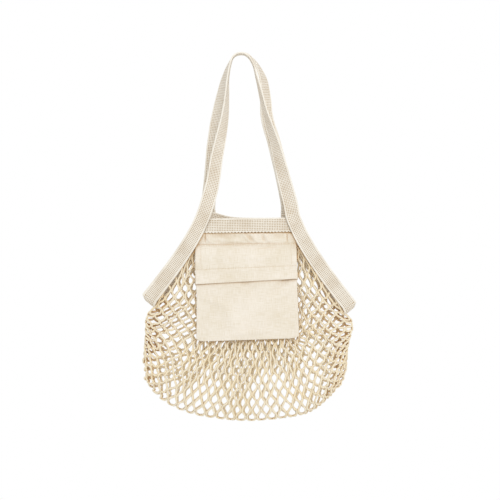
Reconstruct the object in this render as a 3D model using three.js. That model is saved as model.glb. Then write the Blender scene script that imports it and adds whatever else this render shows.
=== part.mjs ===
// A string shopping bag of knotless cotton net, hanging by both of its handles.
// Millimetres, +Z up. The front faces -Y, and the origin is the point where the handles hang.
// One loop of woven webbing runs up each handle, down the sides of the net and round its corners.
import * as THREE from 'three';

// Driving sizes
const HANDLE_DROP = 285; // from the hang point down to the top edge of the mouth
const BAG_DROP = 353; // from the top edge of the mouth down to the bottom of the net
const BAG_WIDTH = 373; // across the net where it is widest
const FEET_SPACING = 169; // between the middles of the front handle's feet
const HANG_SHARE = 0.43; // place of the hang point between those feet, from the left
const WEBBING_WIDTH = 25;
const WEBBING_THICK = 3;
const MOUTH_GAP = 30; // between the outer faces of the net at the mouth
const CORNER_GAP = 14; // the same where the side bands fold round the corners
const BELLY_DEPTH = 64; // from front to back of the net where it is fullest
const NET_THICK = 3;
const STRAND_WIDTH = 7; // one bar of the net in this coarse lattice
const TUCK = 6; // how far the net and the pouch go under the webbing
const POUCH_WIDTH = 178;
const POUCH_DROP = 199; // from the middle of the front rim band to the pouch's lower edge
const PANEL_THICK = 1;
const POCKET_ROOM = 2; // slack between the two panels of the pocket
const NET_SET_IN = 1.5; // how far inside the side bands' inner edge the net comes out
const MOUTH_SHIFT = 3; // how far the net sits to the right of the handles' feet
const CLEAR = 0.3; // gap kept between two pieces that touch

// Places that follow from them
const rimMiddleZ = -HANDLE_DROP - WEBBING_WIDTH / 2;
const feetMiddleX = FEET_SPACING * (0.5 - HANG_SHARE);
const mouthMiddleX = feetMiddleX + MOUTH_SHIFT;
const mouthDepth = MOUTH_GAP / 2;
const cornerDepth = CORNER_GAP / 2;
const bellyDepth = BELLY_DEPTH / 2;
const halfThick = WEBBING_THICK / 2;

// The two faces of the bag. Depth counts away from the middle plane, so the sign turns it to Y.
const FACES = {
  front: { sign: -1, rimFace: mouthDepth + CLEAR + PANEL_THICK + CLEAR },
  back: { sign: 1, rimFace: mouthDepth + CLEAR },
};
for (const face of Object.values(FACES)) face.strapFace = face.rimFace + WEBBING_THICK + CLEAR;

// Handle routes. Down is a share of HANDLE_DROP. Left and right are shares of the way out to the
// front feet. Turn goes from 0, with the webbing's edge towards the viewer, to 1, lying flat.
const handleRows = {
  front: [
    { down: 0, left: 0.1, right: 0.08, turn: 0 },
    { down: 0.02, left: 0.195, right: 0.152, turn: 0 },
    { down: 0.065, left: 0.258, right: 0.226, turn: 0.02 },
    { down: 0.14, left: 0.309, right: 0.284, turn: 0.04 },
    { down: 0.25, left: 0.339, right: 0.358, turn: 0.15 },
    { down: 0.34, left: 0.36, right: 0.421, turn: 0.25 },
    { down: 0.43, left: 0.415, right: 0.504, turn: 0.39 },
    { down: 0.53, left: 0.497, right: 0.595, turn: 0.52 },
    { down: 0.64, left: 0.584, right: 0.684, turn: 0.63 },
    { down: 0.79, left: 0.678, right: 0.8, turn: 0.76 },
    { down: 0.92, left: 0.813, right: 0.9, turn: 0.97 },
  ],
  back: [
    { down: 0, left: 0.1, right: 0.11, turn: 0 },
    { down: 0.02, left: 0.2, right: 0.215, turn: 0.06 },
    { down: 0.065, left: 0.296, right: 0.311, turn: 0.2 },
    { down: 0.14, left: 0.39, right: 0.394, turn: 0.36 },
    { down: 0.25, left: 0.482, right: 0.437, turn: 0.53 },
    { down: 0.34, left: 0.547, right: 0.447, turn: 0.66 },
    { down: 0.43, left: 0.607, right: 0.497, turn: 0.73 },
    { down: 0.53, left: 0.658, right: 0.594, turn: 0.8 },
    { down: 0.64, left: 0.696, right: 0.687, turn: 0.87 },
    { down: 0.79, left: 0.744, right: 0.79, turn: 0.94 },
    { down: 0.92, left: 0.797, right: 0.858, turn: 1 },
  ],
};

// Feet of the handles, where the side bands take over: out as above, and the lean from upright.
const feetRows = {
  front: { left: { out: 1, lean: 24 }, right: { out: 1, lean: 22 } },
  back: { left: { out: 0.868, lean: 22 }, right: { out: 0.916, lean: 20 } },
};

// Corners of the bag, where each side band folds over. Out is a share of BAG_WIDTH and down of
// BAG_DROP, from the front foot. Width is a share of WEBBING_WIDTH, and inward is how much
// further in the back run lies, in the same share.
const cornerRows = {
  left: { sign: -1, out: 0.247, down: 0.381, width: 1.12, inward: 0.28 },
  right: { sign: 1, out: 0.264, down: 0.418, width: 1.04, inward: 0.28 },
};

// Bottom fold of the net, from corner to corner: across is a share of BAG_WIDTH from the middle
// of the mouth, and down a share of BAG_DROP.
const foldRows = [
  { across: -0.503, down: 0.58 },
  { across: -0.506, down: 0.664 },
  { across: -0.493, down: 0.763 },
  { across: -0.455, down: 0.855 },
  { across: -0.39, down: 0.919 },
  { across: -0.293, down: 0.964 },
  { across: -0.171, down: 0.987 },
  { across: -0.009, down: 1.0 },
  { across: 0.157, down: 0.986 },
  { across: 0.261, down: 0.963 },
  { across: 0.352, down: 0.907 },
  { across: 0.416, down: 0.83 },
  { across: 0.46, down: 0.726 },
  { across: 0.481, down: 0.617 },
];

// Edges across the pouch, below the middle of the front rim band: drop is a share of POUCH_DROP,
// and tilt, the rise from the middle to the right end, a share of POUCH_WIDTH.
const pouchRows = {
  top: { drop: (WEBBING_WIDTH / 2 - TUCK) / POUCH_DROP, tilt: 0 },
  seam: { drop: 0.163, tilt: 0.011 },
  pocketMouth: { drop: 0.322, tilt: 0 },
  flapEdge: { drop: 0.492, tilt: 0.027 },
  bottom: { drop: 1, tilt: 0.017 },
};

// Along a side band's run, from 0 at the foot to 1 at the fold: where the band comes down from
// over the rim onto the net, where the net starts, and where it begins to narrow in depth.
const BAND_LIFT_FROM = 0.25;
const BAND_LIFT_TO = 0.65;
const NET_STARTS = 0.1;
const NET_NARROWS = 0.2;

// Lattice of the net: knots stand where column plus row is even, and gaps where it is odd.
const COLUMNS = 18;
const ROWS = 14;
const foldRow = ROWS / 2;

const lerp = THREE.MathUtils.lerp;
const smoothstep = THREE.MathUtils.smoothstep;
const clamp = THREE.MathUtils.clamp;

// Turns a point's flat X and Z, and its depth on one face, into space.
function place(flat, depth, face) {
  return new THREE.Vector3(flat.x, FACES[face].sign * depth, flat.y);
}

// Closed geometry from points and triangles, turned to face outwards.
function closedGeometry(points, triangles) {
  let volume = 0;
  for (const [a, b, c] of triangles) {
    volume += points[a].dot(new THREE.Vector3().crossVectors(points[b], points[c]));
  }
  const outward = volume > 0 ? triangles : triangles.map(([a, b, c]) => [a, c, b]);
  const geometry = new THREE.BufferGeometry().setFromPoints(points);
  geometry.setIndex(outward.flat());
  geometry.computeVertexNormals();
  return geometry;
}

// A sheet with two skins: the faces join the outer points, and every free edge gets a wall.
function sheetGeometry(faces, outer, inner) {
  const count = outer.length;
  const triangles = [];
  const directed = new Set();
  for (const [a, b, c] of faces) {
    triangles.push([a, b, c], [a + count, c + count, b + count]);
    for (const edge of [[a, b], [b, c], [c, a]]) directed.add(edge.join());
  }
  for (const [a, b, c] of faces) {
    for (const [p, q] of [[a, b], [b, c], [c, a]]) {
      if (directed.has([q, p].join())) continue;
      triangles.push([q, p, p + count], [q, p + count, q + count]);
    }
  }
  return closedGeometry([...outer, ...inner], triangles);
}

// A length of webbing through stations that give its middle, its direction across and its width.
function webbingGeometry(stations) {
  const chamfer = WEBBING_THICK * 0.3;
  const points = [];
  const triangles = [];
  stations.forEach((station, index) => {
    const before = stations[Math.max(index - 1, 0)].middle;
    const after = stations[Math.min(index + 1, stations.length - 1)].middle;
    const along = station.along ?? new THREE.Vector3().subVectors(after, before).normalize();
    const across = station.across.clone().addScaledVector(along, -station.across.dot(along)).normalize();
    const facing = new THREE.Vector3().crossVectors(along, across);
    const w = station.width / 2;
    const t = halfThick;
    const section = [
      [-w, chamfer - t], [chamfer - w, -t], [w - chamfer, -t], [w, chamfer - t],
      [w, t - chamfer], [w - chamfer, t], [chamfer - w, t], [-w, t - chamfer],
    ];
    for (const [a, f] of section) {
      points.push(station.middle.clone().addScaledVector(across, a).addScaledVector(facing, f));
    }
  });
  const sides = points.length / stations.length;
  for (let ring = 0; ring + 1 < stations.length; ring += 1) {
    for (let side = 0; side < sides; side += 1) {
      const a = ring * sides + side;
      const b = ring * sides + ((side + 1) % sides);
      triangles.push([a, b, b + sides], [a, b + sides, a + sides]);
    }
  }
  const last = points.length - sides;
  for (let side = 1; side + 1 < sides; side += 1) {
    triangles.push([0, side + 1, side], [last, last + side, last + side + 1]);
  }
  return closedGeometry(points, triangles);
}

// Way out from the hang point to a front foot, left or right.
function footReach(side) {
  return side === 'left' ? -FEET_SPACING * HANG_SHARE : FEET_SPACING * (1 - HANG_SHARE);
}

// Middle and direction of a handle's foot in the flat, with the direction pointing down.
function foot(face, side) {
  const row = feetRows[face][side];
  const lean = THREE.MathUtils.degToRad(row.lean) * cornerRows[side].sign;
  return {
    middle: new THREE.Vector2(footReach(side) * row.out, rimMiddleZ),
    down: new THREE.Vector2(Math.sin(lean), -Math.cos(lean)),
  };
}

// Direction in the flat that points from a downward run to the outside of the bag.
function outward(down, side) {
  const sign = cornerRows[side].sign;
  return new THREE.Vector2(-down.y * sign, down.x * sign);
}

// One handle: up from the left foot, over the hang point and down to the right foot.
function handleGeometry(face) {
  const depthAt = (turn) => lerp((WEBBING_WIDTH + CLEAR) / 2, FACES[face].strapFace + halfThick, turn);
  const leg = (side) => {
    const rows = handleRows[face].map((row) => ({
      flat: new THREE.Vector2(footReach(side) * row[side], -HANDLE_DROP * row.down),
      turn: row.turn,
    }));
    const straight = WEBBING_WIDTH * 0.6;
    const { middle, down } = foot(face, side);
    const end = middle.clone().addScaledVector(down, -CLEAR / 2);
    rows.push({ flat: end.clone().addScaledVector(down, -straight), turn: 1 });
    rows.push({ flat: end, turn: 1 });
    return rows;
  };
  const crown = { flat: new THREE.Vector2(0, halfThick), turn: 0 };
  const rows = [...leg('left').reverse(), crown, ...leg('right')];
  const route = new THREE.CatmullRomCurve3(rows.map(({ flat, turn }) => place(flat, depthAt(turn), face)));
  const steps = (rows.length - 1) * 2;
  const stations = [];
  for (let step = 0; step <= steps; step += 1) {
    const at = step / steps;
    const row = at * (rows.length - 1);
    const low = Math.min(Math.floor(row), rows.length - 2);
    const turn = lerp(rows[low].turn, rows[low + 1].turn, row - low) * Math.PI * 0.5;
    const along = route.getTangent(at);
    if (step === 0) along.copy(place(foot(face, 'left').down, 0, face)).negate();
    if (step === steps) along.copy(place(foot(face, 'right').down, 0, face));
    const out = new THREE.Vector3(-along.z, 0, along.x).normalize();
    const across = new THREE.Vector3(0, FACES[face].sign * Math.cos(turn), 0);
    across.addScaledVector(out, Math.sin(turn));
    stations.push({ middle: route.getPoint(at), along, across, width: WEBBING_WIDTH });
  }
  return webbingGeometry(stations);
}

// Middle line of a side band's run on one face, from the foot (0) to where the fold begins (1).
function bandRun(face, side, at) {
  const corner = cornerRows[side];
  const start = foot(face, side);
  const frontFoot = foot('front', side).middle;
  const tip = new THREE.Vector2(corner.sign * corner.out * BAG_WIDTH, -corner.down * BAG_DROP).add(frontFoot);
  const towards = tip.clone().sub(frontFoot).normalize();
  const foldRadius = cornerDepth + CLEAR + WEBBING_THICK;
  const end = tip.clone().addScaledVector(towards, -foldRadius);
  if (face === 'back') end.addScaledVector(outward(towards, side), -corner.inward * WEBBING_WIDTH);
  const reach = end.distanceTo(start.middle);
  const bend = start.middle.clone().addScaledVector(start.down, reach * 0.3);
  const middle = start.middle.clone().multiplyScalar((1 - at) ** 2);
  middle.addScaledVector(bend, 2 * at * (1 - at)).addScaledVector(end, at ** 2);
  const down = bend.clone().sub(start.middle).multiplyScalar(1 - at);
  down.addScaledVector(end.clone().sub(bend), at).normalize();
  const width = WEBBING_WIDTH * lerp(1, corner.width, at);
  return { middle, down, out: outward(down, side), width, reach };
}

// Depth of the net's edge along a side band's run.
function netEdgeDepth(at) {
  return lerp(mouthDepth, cornerDepth, clamp((at - NET_NARROWS) / (1 - NET_NARROWS), 0, 1));
}

// Depth of a side band's inner face: over the rim and the pouch at first, then on the net.
function bandFaceDepth(face, at) {
  const over = FACES[face].strapFace - mouthDepth - CLEAR;
  return netEdgeDepth(at) + CLEAR + over * (1 - smoothstep(at, BAND_LIFT_FROM, BAND_LIFT_TO));
}

// One side band: down the front, folded round the corner and up the back.
function sideBandGeometry(side) {
  const runSteps = 9;
  const foldSteps = 12;
  const stations = [];
  const addRun = (face, at) => {
    const run = bandRun(face, side, at);
    const start = at === 0 ? CLEAR / 2 : 0;
    const depth = bandFaceDepth(face, at) + halfThick;
    const along = place(run.down, 0, face).multiplyScalar(face === 'front' ? 1 : -1);
    stations.push({
      middle: place(run.middle.addScaledVector(run.down, start), depth, face),
      across: place(run.out, 0, face),
      along: at === 0 || at === 1 ? along : undefined,
      width: run.width,
    });
  };
  for (let step = 0; step <= runSteps; step += 1) addRun('front', step / runSteps);
  const front = bandRun('front', side, 1);
  const back = bandRun('back', side, 1);
  const radius = cornerDepth + CLEAR + halfThick;
  for (let step = 1; step < foldSteps; step += 1) {
    const share = step / foldSteps;
    const angle = share * Math.PI;
    const flat = front.middle.clone().lerp(back.middle, share);
    flat.addScaledVector(front.down, radius * Math.sin(angle));
    stations.push({
      middle: place(flat, radius * Math.cos(angle), 'front'),
      across: place(front.out.clone().lerp(back.out, share), 0, 'front'),
      width: front.width,
    });
  }
  for (let step = runSteps; step >= 0; step -= 1) addRun('back', step / runSteps);
  return webbingGeometry(stations);
}

// Height of a rim band's middle line. The back one sags a little, and rises at its left end.
function rimHeight(face, x) {
  if (face === 'front') return rimMiddleZ;
  const share = (x - footReach('left')) / FEET_SPACING;
  const rise = 0.52 * (1 - smoothstep(share, 0, 0.6));
  const sag = 0.1 * smoothstep(share, 0, 0.5);
  return rimMiddleZ + WEBBING_WIDTH * (rise - sag);
}

// One rim band, ending under the middle of the straps.
function rimBandGeometry(face) {
  const steps = 12;
  const depth = FACES[face].rimFace + halfThick;
  const [left, right] = [foot(face, 'left').middle.x, foot(face, 'right').middle.x];
  const stations = [];
  for (let step = 0; step <= steps; step += 1) {
    const x = lerp(left, right, step / steps);
    const middle = place(new THREE.Vector2(x, rimHeight(face, x)), depth, face);
    stations.push({ middle, across: new THREE.Vector3(0, 0, 1), width: WEBBING_WIDTH });
  }
  return webbingGeometry(stations);
}

// Inner edge of a side band in the flat, which the visible net starts from. Inside the band's
// fold the front and back edges close in on each other, and meet where the share is 1.
function netSide(face, side, share) {
  const { reach } = bandRun(face, side, 1);
  const along = lerp(NET_STARTS, 1 + cornerDepth / reach, share);
  const past = clamp(((along - 1) * reach) / cornerDepth, 0, 1);
  const at = Math.min(along, 1);
  const edge = (which) => {
    const run = bandRun(which, side, at);
    const inside = run.middle.addScaledVector(run.out, -run.width / 2 - NET_SET_IN);
    return inside.addScaledVector(run.down, past * cornerDepth);
  };
  const other = face === 'front' ? 'back' : 'front';
  const flat = edge(face).lerp(edge(other), past / 2);
  const depth = netEdgeDepth(at) * Math.sqrt(1 - past * past);
  return { flat, out: bandRun(face, side, at).out, depth };
}

// The bottom fold, the same for both faces, from the left corner (0) to the right corner (1).
// It leaves each corner in line with the side band, so that the net clears the band's fold.
const corners = ['left', 'right'].map((side) => {
  const { flat } = netSide('front', side, 1);
  const { down, out } = bandRun('front', side, 1);
  const below = flat.clone().addScaledVector(down, WEBBING_WIDTH * 0.8).addScaledVector(out, -NET_SET_IN);
  return { flat, below };
});
const foldCurve = new THREE.SplineCurve([
  corners[0].flat,
  corners[0].below,
  ...foldRows.map(({ across, down }) => new THREE.Vector2(
    mouthMiddleX + across * BAG_WIDTH,
    -HANDLE_DROP - down * BAG_DROP,
  )),
  corners[1].below,
  corners[1].flat,
]);
foldCurve.arcLengthDivisions = 400;

// A point of the net in lattice steps: its place in the flat between the mouth, the side bands
// and the bottom fold, its depth, and the tucked margins past the first column and row.
function netPoint(column, row) {
  const face = row <= foldRow ? 'front' : 'back';
  const across = clamp((column - 1) / (COLUMNS - 2), 0, 1);
  const fromMouth = face === 'front' ? row : ROWS - row;
  const down = clamp((fromMouth - 1) / (foldRow - 1), 0, 1);
  const left = netSide(face, 'left', down);
  const right = netSide(face, 'right', down);
  const ends = ['left', 'right'].map((side) => netSide(face, side, 0).flat);
  const top = ends[0].clone().lerp(ends[1], across);
  const bottom = foldCurve.getPointAt(across);
  const flat = top.clone().multiplyScalar(1 - down).addScaledVector(bottom, down);
  flat.addScaledVector(left.flat, 1 - across).addScaledVector(right.flat, across);
  flat.addScaledVector(ends[0], -(1 - across) * (1 - down));
  flat.addScaledVector(ends[1], -across * (1 - down));
  flat.addScaledVector(corners[0].flat, -(1 - across) * down);
  flat.addScaledVector(corners[1].flat, -across * down);
  const fall = clamp((rimMiddleZ - flat.y) / (BAG_DROP - WEBBING_WIDTH / 2), 0, 1);
  const full = lerp(mouthDepth, bellyDepth, smoothstep(fall, 0.45, 0.9)) * Math.sqrt(1 - down ** 6);
  const edge = lerp(left.depth, right.depth, across);
  const depth = lerp(full, edge, Math.abs(2 * across - 1) ** 4);
  const side = column < 1 ? left : right;
  const margin = Math.max(1 - column, column - (COLUMNS - 1), 0);
  flat.addScaledVector(side.out, margin * (TUCK + NET_SET_IN));
  flat.y += Math.max(1 - fromMouth, 0) * TUCK;
  return { flat, depth, face };
}

// The net's inner skin at a point: straight through the net, and turning round the bottom fold
// towards the inside of the bag where the two faces close in on each other.
function netInside(column, row) {
  const { flat, depth, face } = netPoint(column, row);
  const above = netPoint(column, foldRow - 1).flat.sub(netPoint(column, foldRow).flat).normalize();
  const through = Math.min(depth / cornerDepth, 1);
  const within = flat.addScaledVector(above, NET_THICK * Math.sqrt(1 - through * through));
  return place(within, depth - NET_THICK * through, face);
}

// The net, one sheet from the front of the mouth under the bottom to the back of the mouth.
function netGeometry() {
  const outer = [];
  const inner = [];
  const known = new Map();
  const faces = [];
  const point = ([column, row]) => {
    const key = `${column.toFixed(5)} ${row.toFixed(5)}`;
    if (!known.has(key)) {
      const { flat, depth, face } = netPoint(column, row);
      known.set(key, outer.length);
      outer.push(place(flat, depth, face));
      inner.push(netInside(column, row));
    }
    return known.get(key);
  };
  const spread = (a, b) => outer[point(a)].distanceTo(outer[point(b)]);
  // A cell with a gap in it: a ring of faces between its outline and the gap.
  const ring = (outline, centre, inradius) => {
    const open = clamp(1 - STRAND_WIDTH / 2 / inradius, 0.3, 0.95);
    const gap = outline.map(([c, r]) => [lerp(centre[0], c, open), lerp(centre[1], r, open)]);
    outline.forEach((corner, index) => {
      const next = (index + 1) % outline.length;
      const [a, b, c, d] = [corner, outline[next], gap[next], gap[index]].map(point);
      faces.push([a, b, c], [a, c, d]);
    });
  };
  // A half cell at an edge of the net, which stays solid under the webbing.
  const solid = (outline, centre) => {
    const within = ([c, r]) => c >= 0 && c <= COLUMNS && r >= 0 && r <= ROWS;
    outline.forEach((corner, index) => {
      const next = outline[(index + 1) % outline.length];
      if (within(corner) && within(next)) faces.push([centre, corner, next].map(point));
    });
  };
  for (let row = 0; row <= ROWS; row += 1) {
    for (let column = (row + 1) % 2; column <= COLUMNS; column += 2) {
      const around = [[1, 0], [0.5, 0.5], [0, 1], [-0.5, 0.5], [-1, 0], [-0.5, -0.5], [0, -1], [0.5, -0.5]];
      const outline = around.map(([c, r]) => [column + c, row + r]);
      const centre = [column, row];
      if (row % ROWS === 0 || column % COLUMNS === 0) {
        solid(outline, centre);
        continue;
      }
      const a = spread([column - 1, row], [column + 1, row]) / 2;
      const b = (spread([column, row - 1], centre) + spread(centre, [column, row + 1])) / 2;
      if (row === foldRow) {
        const inradius = (a * b) / (a + Math.hypot(a, b));
        ring([outline[0], centre, ...outline.slice(4)], [column, row - 1 / 3], inradius);
        ring([...outline.slice(0, 5), centre], [column, row + 1 / 3], inradius);
      } else {
        ring(outline, centre, (a * b) / Math.hypot(a, b));
      }
    }
  }
  return sheetGeometry(faces, outer, inner);
}

// Depth of the surface that the pouch hangs on: upright at the rim, then leaning out a little.
function pouchDepth(z) {
  const lean = 0.04;
  return mouthDepth + CLEAR + lean * Math.max(rimMiddleZ - WEBBING_WIDTH - z, 0);
}

// Height of an edge across the pouch, from its left end (-1) to its right end (1).
function pouchEdgeZ(edge, fromMiddle) {
  const { drop, tilt } = pouchRows[edge];
  return rimMiddleZ - POUCH_DROP * drop + POUCH_WIDTH * tilt * fromMiddle;
}

// Slack of the pocket at a place across (0 to 1) and at a height: none along its three seams.
function pocketSlack(across, z) {
  const mouth = pouchEdgeZ('pocketMouth', 0);
  const floor = pouchEdgeZ('bottom', 0);
  const share = clamp((z - mouth) / (floor - mouth), 0, 1);
  return POCKET_ROOM * Math.sin(Math.PI * across) * Math.cos((share * Math.PI) / 2);
}

// One panel of the pouch between two edges that run across it, with its inner face at a depth.
function panelGeometry({ upper, lower, widen, round }, depthAt) {
  const columns = 12;
  const rows = 10;
  const outer = [];
  const inner = [];
  const faces = [];
  for (let row = 0; row <= rows; row += 1) {
    for (let column = 0; column <= columns; column += 1) {
      const across = column / columns;
      const fromMiddle = 2 * across - 1;
      const top = pouchEdgeZ(upper, fromMiddle);
      const bottom = pouchEdgeZ(lower, fromMiddle) + round * fromMiddle ** 12;
      const flat = new THREE.Vector2(
        feetMiddleX + fromMiddle * (POUCH_WIDTH / 2 + widen),
        lerp(top, bottom, row / rows),
      );
      const depth = depthAt(across, flat.y);
      outer.push(place(flat, depth + PANEL_THICK, 'front'));
      inner.push(place(flat, depth, 'front'));
      if (row === rows || column === columns) continue;
      const a = row * (columns + 1) + column;
      const b = a + columns + 1;
      faces.push([a, b, b + 1], [a, b + 1, a + 1]);
    }
  }
  return sheetGeometry(faces, outer, inner);
}

const layer = PANEL_THICK + CLEAR;
const cornerRound = TUCK - PANEL_THICK;

function pouchBackGeometry() {
  const outline = { upper: 'top', lower: 'bottom', widen: 0, round: cornerRound };
  return panelGeometry(outline, (across, z) => pouchDepth(z));
}

function pouchFrontGeometry() {
  const outline = { upper: 'pocketMouth', lower: 'bottom', widen: 0, round: cornerRound };
  return panelGeometry(outline, (across, z) => pouchDepth(z) + layer + pocketSlack(across, z));
}

// The flap starts flat on the backing panel and then comes out over the pocket's mouth.
function pouchFlapGeometry() {
  const outline = { upper: 'seam', lower: 'flapEdge', widen: PANEL_THICK, round: 0 };
  const begin = pouchEdgeZ('seam', -1);
  const over = pouchEdgeZ('pocketMouth', 0) + TUCK;
  return panelGeometry(outline, (across, z) => {
    const cover = smoothstep(begin - z, 0, begin - over);
    return pouchDepth(z) + layer + cover * (layer + pocketSlack(across, Math.min(z, over)));
  });
}

// Materials, one for each piece
function cotton(colour, roughness) {
  return new THREE.MeshStandardMaterial({ color: colour, roughness, metalness: 0 });
}

const WEBBING_COLOUR = 0xe3d9c6;
const CALICO_COLOUR = 0xefe4cf;
const NET_COLOUR = 0xe9dcc0;

const pieces = [
  ['net_body', netGeometry, NET_COLOUR, 0.95],
  ['rim_band_front', () => rimBandGeometry('front'), WEBBING_COLOUR, 0.9],
  ['rim_band_back', () => rimBandGeometry('back'), WEBBING_COLOUR, 0.9],
  ['side_band_left', () => sideBandGeometry('left'), WEBBING_COLOUR, 0.9],
  ['side_band_right', () => sideBandGeometry('right'), WEBBING_COLOUR, 0.9],
  ['handle_strap_front', () => handleGeometry('front'), WEBBING_COLOUR, 0.9],
  ['handle_strap_back', () => handleGeometry('back'), WEBBING_COLOUR, 0.9],
  ['pouch_back', pouchBackGeometry, CALICO_COLOUR, 0.85],
  ['pouch_front', pouchFrontGeometry, CALICO_COLOUR, 0.85],
  ['pouch_flap', pouchFlapGeometry, CALICO_COLOUR, 0.85],
];

const bag = new THREE.Group();
for (const [name, shape, colour, roughness] of pieces) {
  const mesh = new THREE.Mesh(shape(), cotton(colour, roughness));
  mesh.name = name;
  bag.add(mesh);
}

export default bag;
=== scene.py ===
import logging
import math
from collections.abc import Callable
from dataclasses import dataclass, field
from enum import Enum
from functools import cached_property

import bpy
import numpy as np
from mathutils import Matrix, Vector


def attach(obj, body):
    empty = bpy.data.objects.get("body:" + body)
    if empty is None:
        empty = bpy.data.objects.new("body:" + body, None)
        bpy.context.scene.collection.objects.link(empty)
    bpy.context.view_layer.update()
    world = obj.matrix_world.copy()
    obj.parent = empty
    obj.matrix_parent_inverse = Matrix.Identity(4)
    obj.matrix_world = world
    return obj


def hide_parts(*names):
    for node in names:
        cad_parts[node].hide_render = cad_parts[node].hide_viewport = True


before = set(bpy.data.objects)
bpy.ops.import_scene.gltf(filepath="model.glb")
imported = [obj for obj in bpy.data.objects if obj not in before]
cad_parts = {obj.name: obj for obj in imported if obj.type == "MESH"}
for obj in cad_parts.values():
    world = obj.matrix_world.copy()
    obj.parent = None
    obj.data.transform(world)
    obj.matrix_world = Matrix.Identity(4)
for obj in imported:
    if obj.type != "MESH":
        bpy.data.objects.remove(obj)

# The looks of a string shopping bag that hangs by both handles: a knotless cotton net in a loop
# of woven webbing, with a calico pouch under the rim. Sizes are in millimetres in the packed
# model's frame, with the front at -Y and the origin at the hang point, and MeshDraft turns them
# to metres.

LOG = logging.getLogger("string_bag")
MM = 0.001
TINY = 1e-9
CURVE_DIVISIONS = 800
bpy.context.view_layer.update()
Array = np.ndarray


class Face(Enum):
    """The two faces of the bag, with the sign of Y on their outside."""

    FRONT = -1.0
    BACK = 1.0


class Side(Enum):
    """The two sides of the bag, with the sign of X on their outside."""

    LEFT = -1.0
    RIGHT = 1.0


def smoothstep(value: Array, low: float, high: float) -> Array:
    """Ease from 0 at low to 1 at high.

    Args:
        value: Where to look.
        low: Where the step begins.
        high: Where the step ends.

    Returns:
        The eased share, from 0 to 1.
    """
    share = np.clip((np.asarray(value, float) - low) / (high - low), 0.0, 1.0)
    return share * share * (3.0 - 2.0 * share)


def mix(first: Array, second: Array, share: Array) -> Array:
    """Go from first to second by a share."""
    return first + (second - first) * share


def unit(vectors: Array) -> Array:
    """Scale vectors along the last axis to length one."""
    return vectors / np.maximum(np.linalg.norm(vectors, axis=-1, keepdims=True), TINY)


def running_length(line: Array) -> Array:
    """Length of a line of points from its start up to each of them."""
    steps = np.linalg.norm(np.diff(line, axis=0), axis=1)
    return np.concatenate([[0.0], np.cumsum(steps)])


def place(flat: Array, depth: Array, face: Face) -> Array:
    """Turn flat X and Z with a depth on one face into points.

    Args:
        flat: X and Z, in the last axis.
        depth: Distance from the bag's middle plane.
        face: The face that the depth counts towards.

    Returns:
        Points with X, Y and Z in the last axis.
    """
    flat = np.asarray(flat, float)
    y = np.broadcast_to(face.value * np.asarray(depth, float), flat.shape[:-1])
    return np.stack([flat[..., 0], y, flat[..., 1]], axis=-1)


def soft_noise(places: Array, seed: int, waves: int = 7) -> Array:
    """Smooth noise about -1 to 1, from a few sine waves in chosen directions.

    Args:
        places: Points in units of the noise's own size, coordinates in the last axis.
        seed: Picks the waves.
        waves: How many waves to add up.

    Returns:
        One value for each point.
    """
    rng = np.random.default_rng(seed)
    total = np.zeros(places.shape[:-1])
    for _ in range(waves):
        direction = unit(rng.normal(size=places.shape[-1])) * rng.uniform(0.6, 1.6)
        total += np.sin(places @ direction * math.tau + rng.uniform(0, math.tau))
    return total / math.sqrt(waves)


def line_distance(places: Array, start: Array, end: Array) -> tuple[Array, Array]:
    """Find the nearest spots to some places on a straight line.

    Args:
        places: The places, coordinates in the last axis.
        start: Where the line starts.
        end: Where it ends.

    Returns:
        The spots as shares of the way along the line, and the ways from the places to them.
    """
    way = end - start
    share = np.clip(((places - start) @ way) / (way @ way), 0.0, 1.0)
    return share, start + share[..., None] * way - places


def fade_at_ends(share: Array) -> Array:
    """Weaken what follows a line from 1 halfway along it to about 0.3 at its ends."""
    return np.sin(math.pi * (0.1 + 0.8 * share))


@dataclass(frozen=True)
class SoftCurve:
    """A smooth curve through points, made of centripetal Catmull-Rom spans."""

    points: Array

    def at(self, shares: Array) -> Array:
        """Find places on the curve, each span taking an equal part of the way.

        Args:
            shares: Where to look, from 0 at the first point to 1 at the last.

        Returns:
            The places.
        """
        points = np.asarray(self.points, float)
        padded = np.vstack([2 * points[0] - points[1], points, 2 * points[-1] - points[-2]])
        along = np.clip(np.asarray(shares, float), 0.0, 1.0) * (len(points) - 1)
        span = np.minimum(along.astype(int), len(points) - 2)
        t = (along - span)[..., None]
        p0, p1, p2, p3 = (padded[span + step] for step in range(4))

        def reach(start: Array, end: Array) -> Array:
            """Square root of the distance, which spaces a centripetal span."""
            return np.sqrt(np.maximum(np.linalg.norm(end - start, axis=-1, keepdims=True), TINY))

        d0, d1, d2 = reach(p0, p1), reach(p1, p2), reach(p2, p3)
        begin = d1 * ((p1 - p0) / d0 - (p2 - p0) / (d0 + d1) + (p2 - p1) / d1)
        end = d1 * ((p2 - p1) / d1 - (p3 - p1) / (d1 + d2) + (p3 - p2) / d2)
        square = -3 * p1 + 3 * p2 - 2 * begin - end
        cube = 2 * p1 - 2 * p2 + begin + end
        return p1 + begin * t + square * t**2 + cube * t**3

    def even(self, shares: Array) -> Array:
        """Find places on the curve at shares of its length.

        Args:
            shares: Where to look, from 0 at the first point to 1 at the last.

        Returns:
            The places.
        """
        dense = np.linspace(0.0, 1.0, CURVE_DIVISIONS)
        length = running_length(self.at(dense))
        return self.at(np.interp(np.asarray(shares, float) * length[-1], length, dense))


@dataclass(frozen=True)
class HandleRow:
    """One row of a handle's route.

    down is a share of the handle's drop, and left and right are shares of the way out to the
    front feet. turn goes from 0, where the webbing is seen edge on, to 1, where it lies flat, and
    slim is how much less of that turn the right leg has.
    """

    down: float
    left: float
    right: float
    turn: float
    slim: float = 0.0


@dataclass(frozen=True)
class Foot:
    """A handle's foot: how far out as a share of the front foot, and its lean in degrees."""

    out: float
    lean: float


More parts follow.
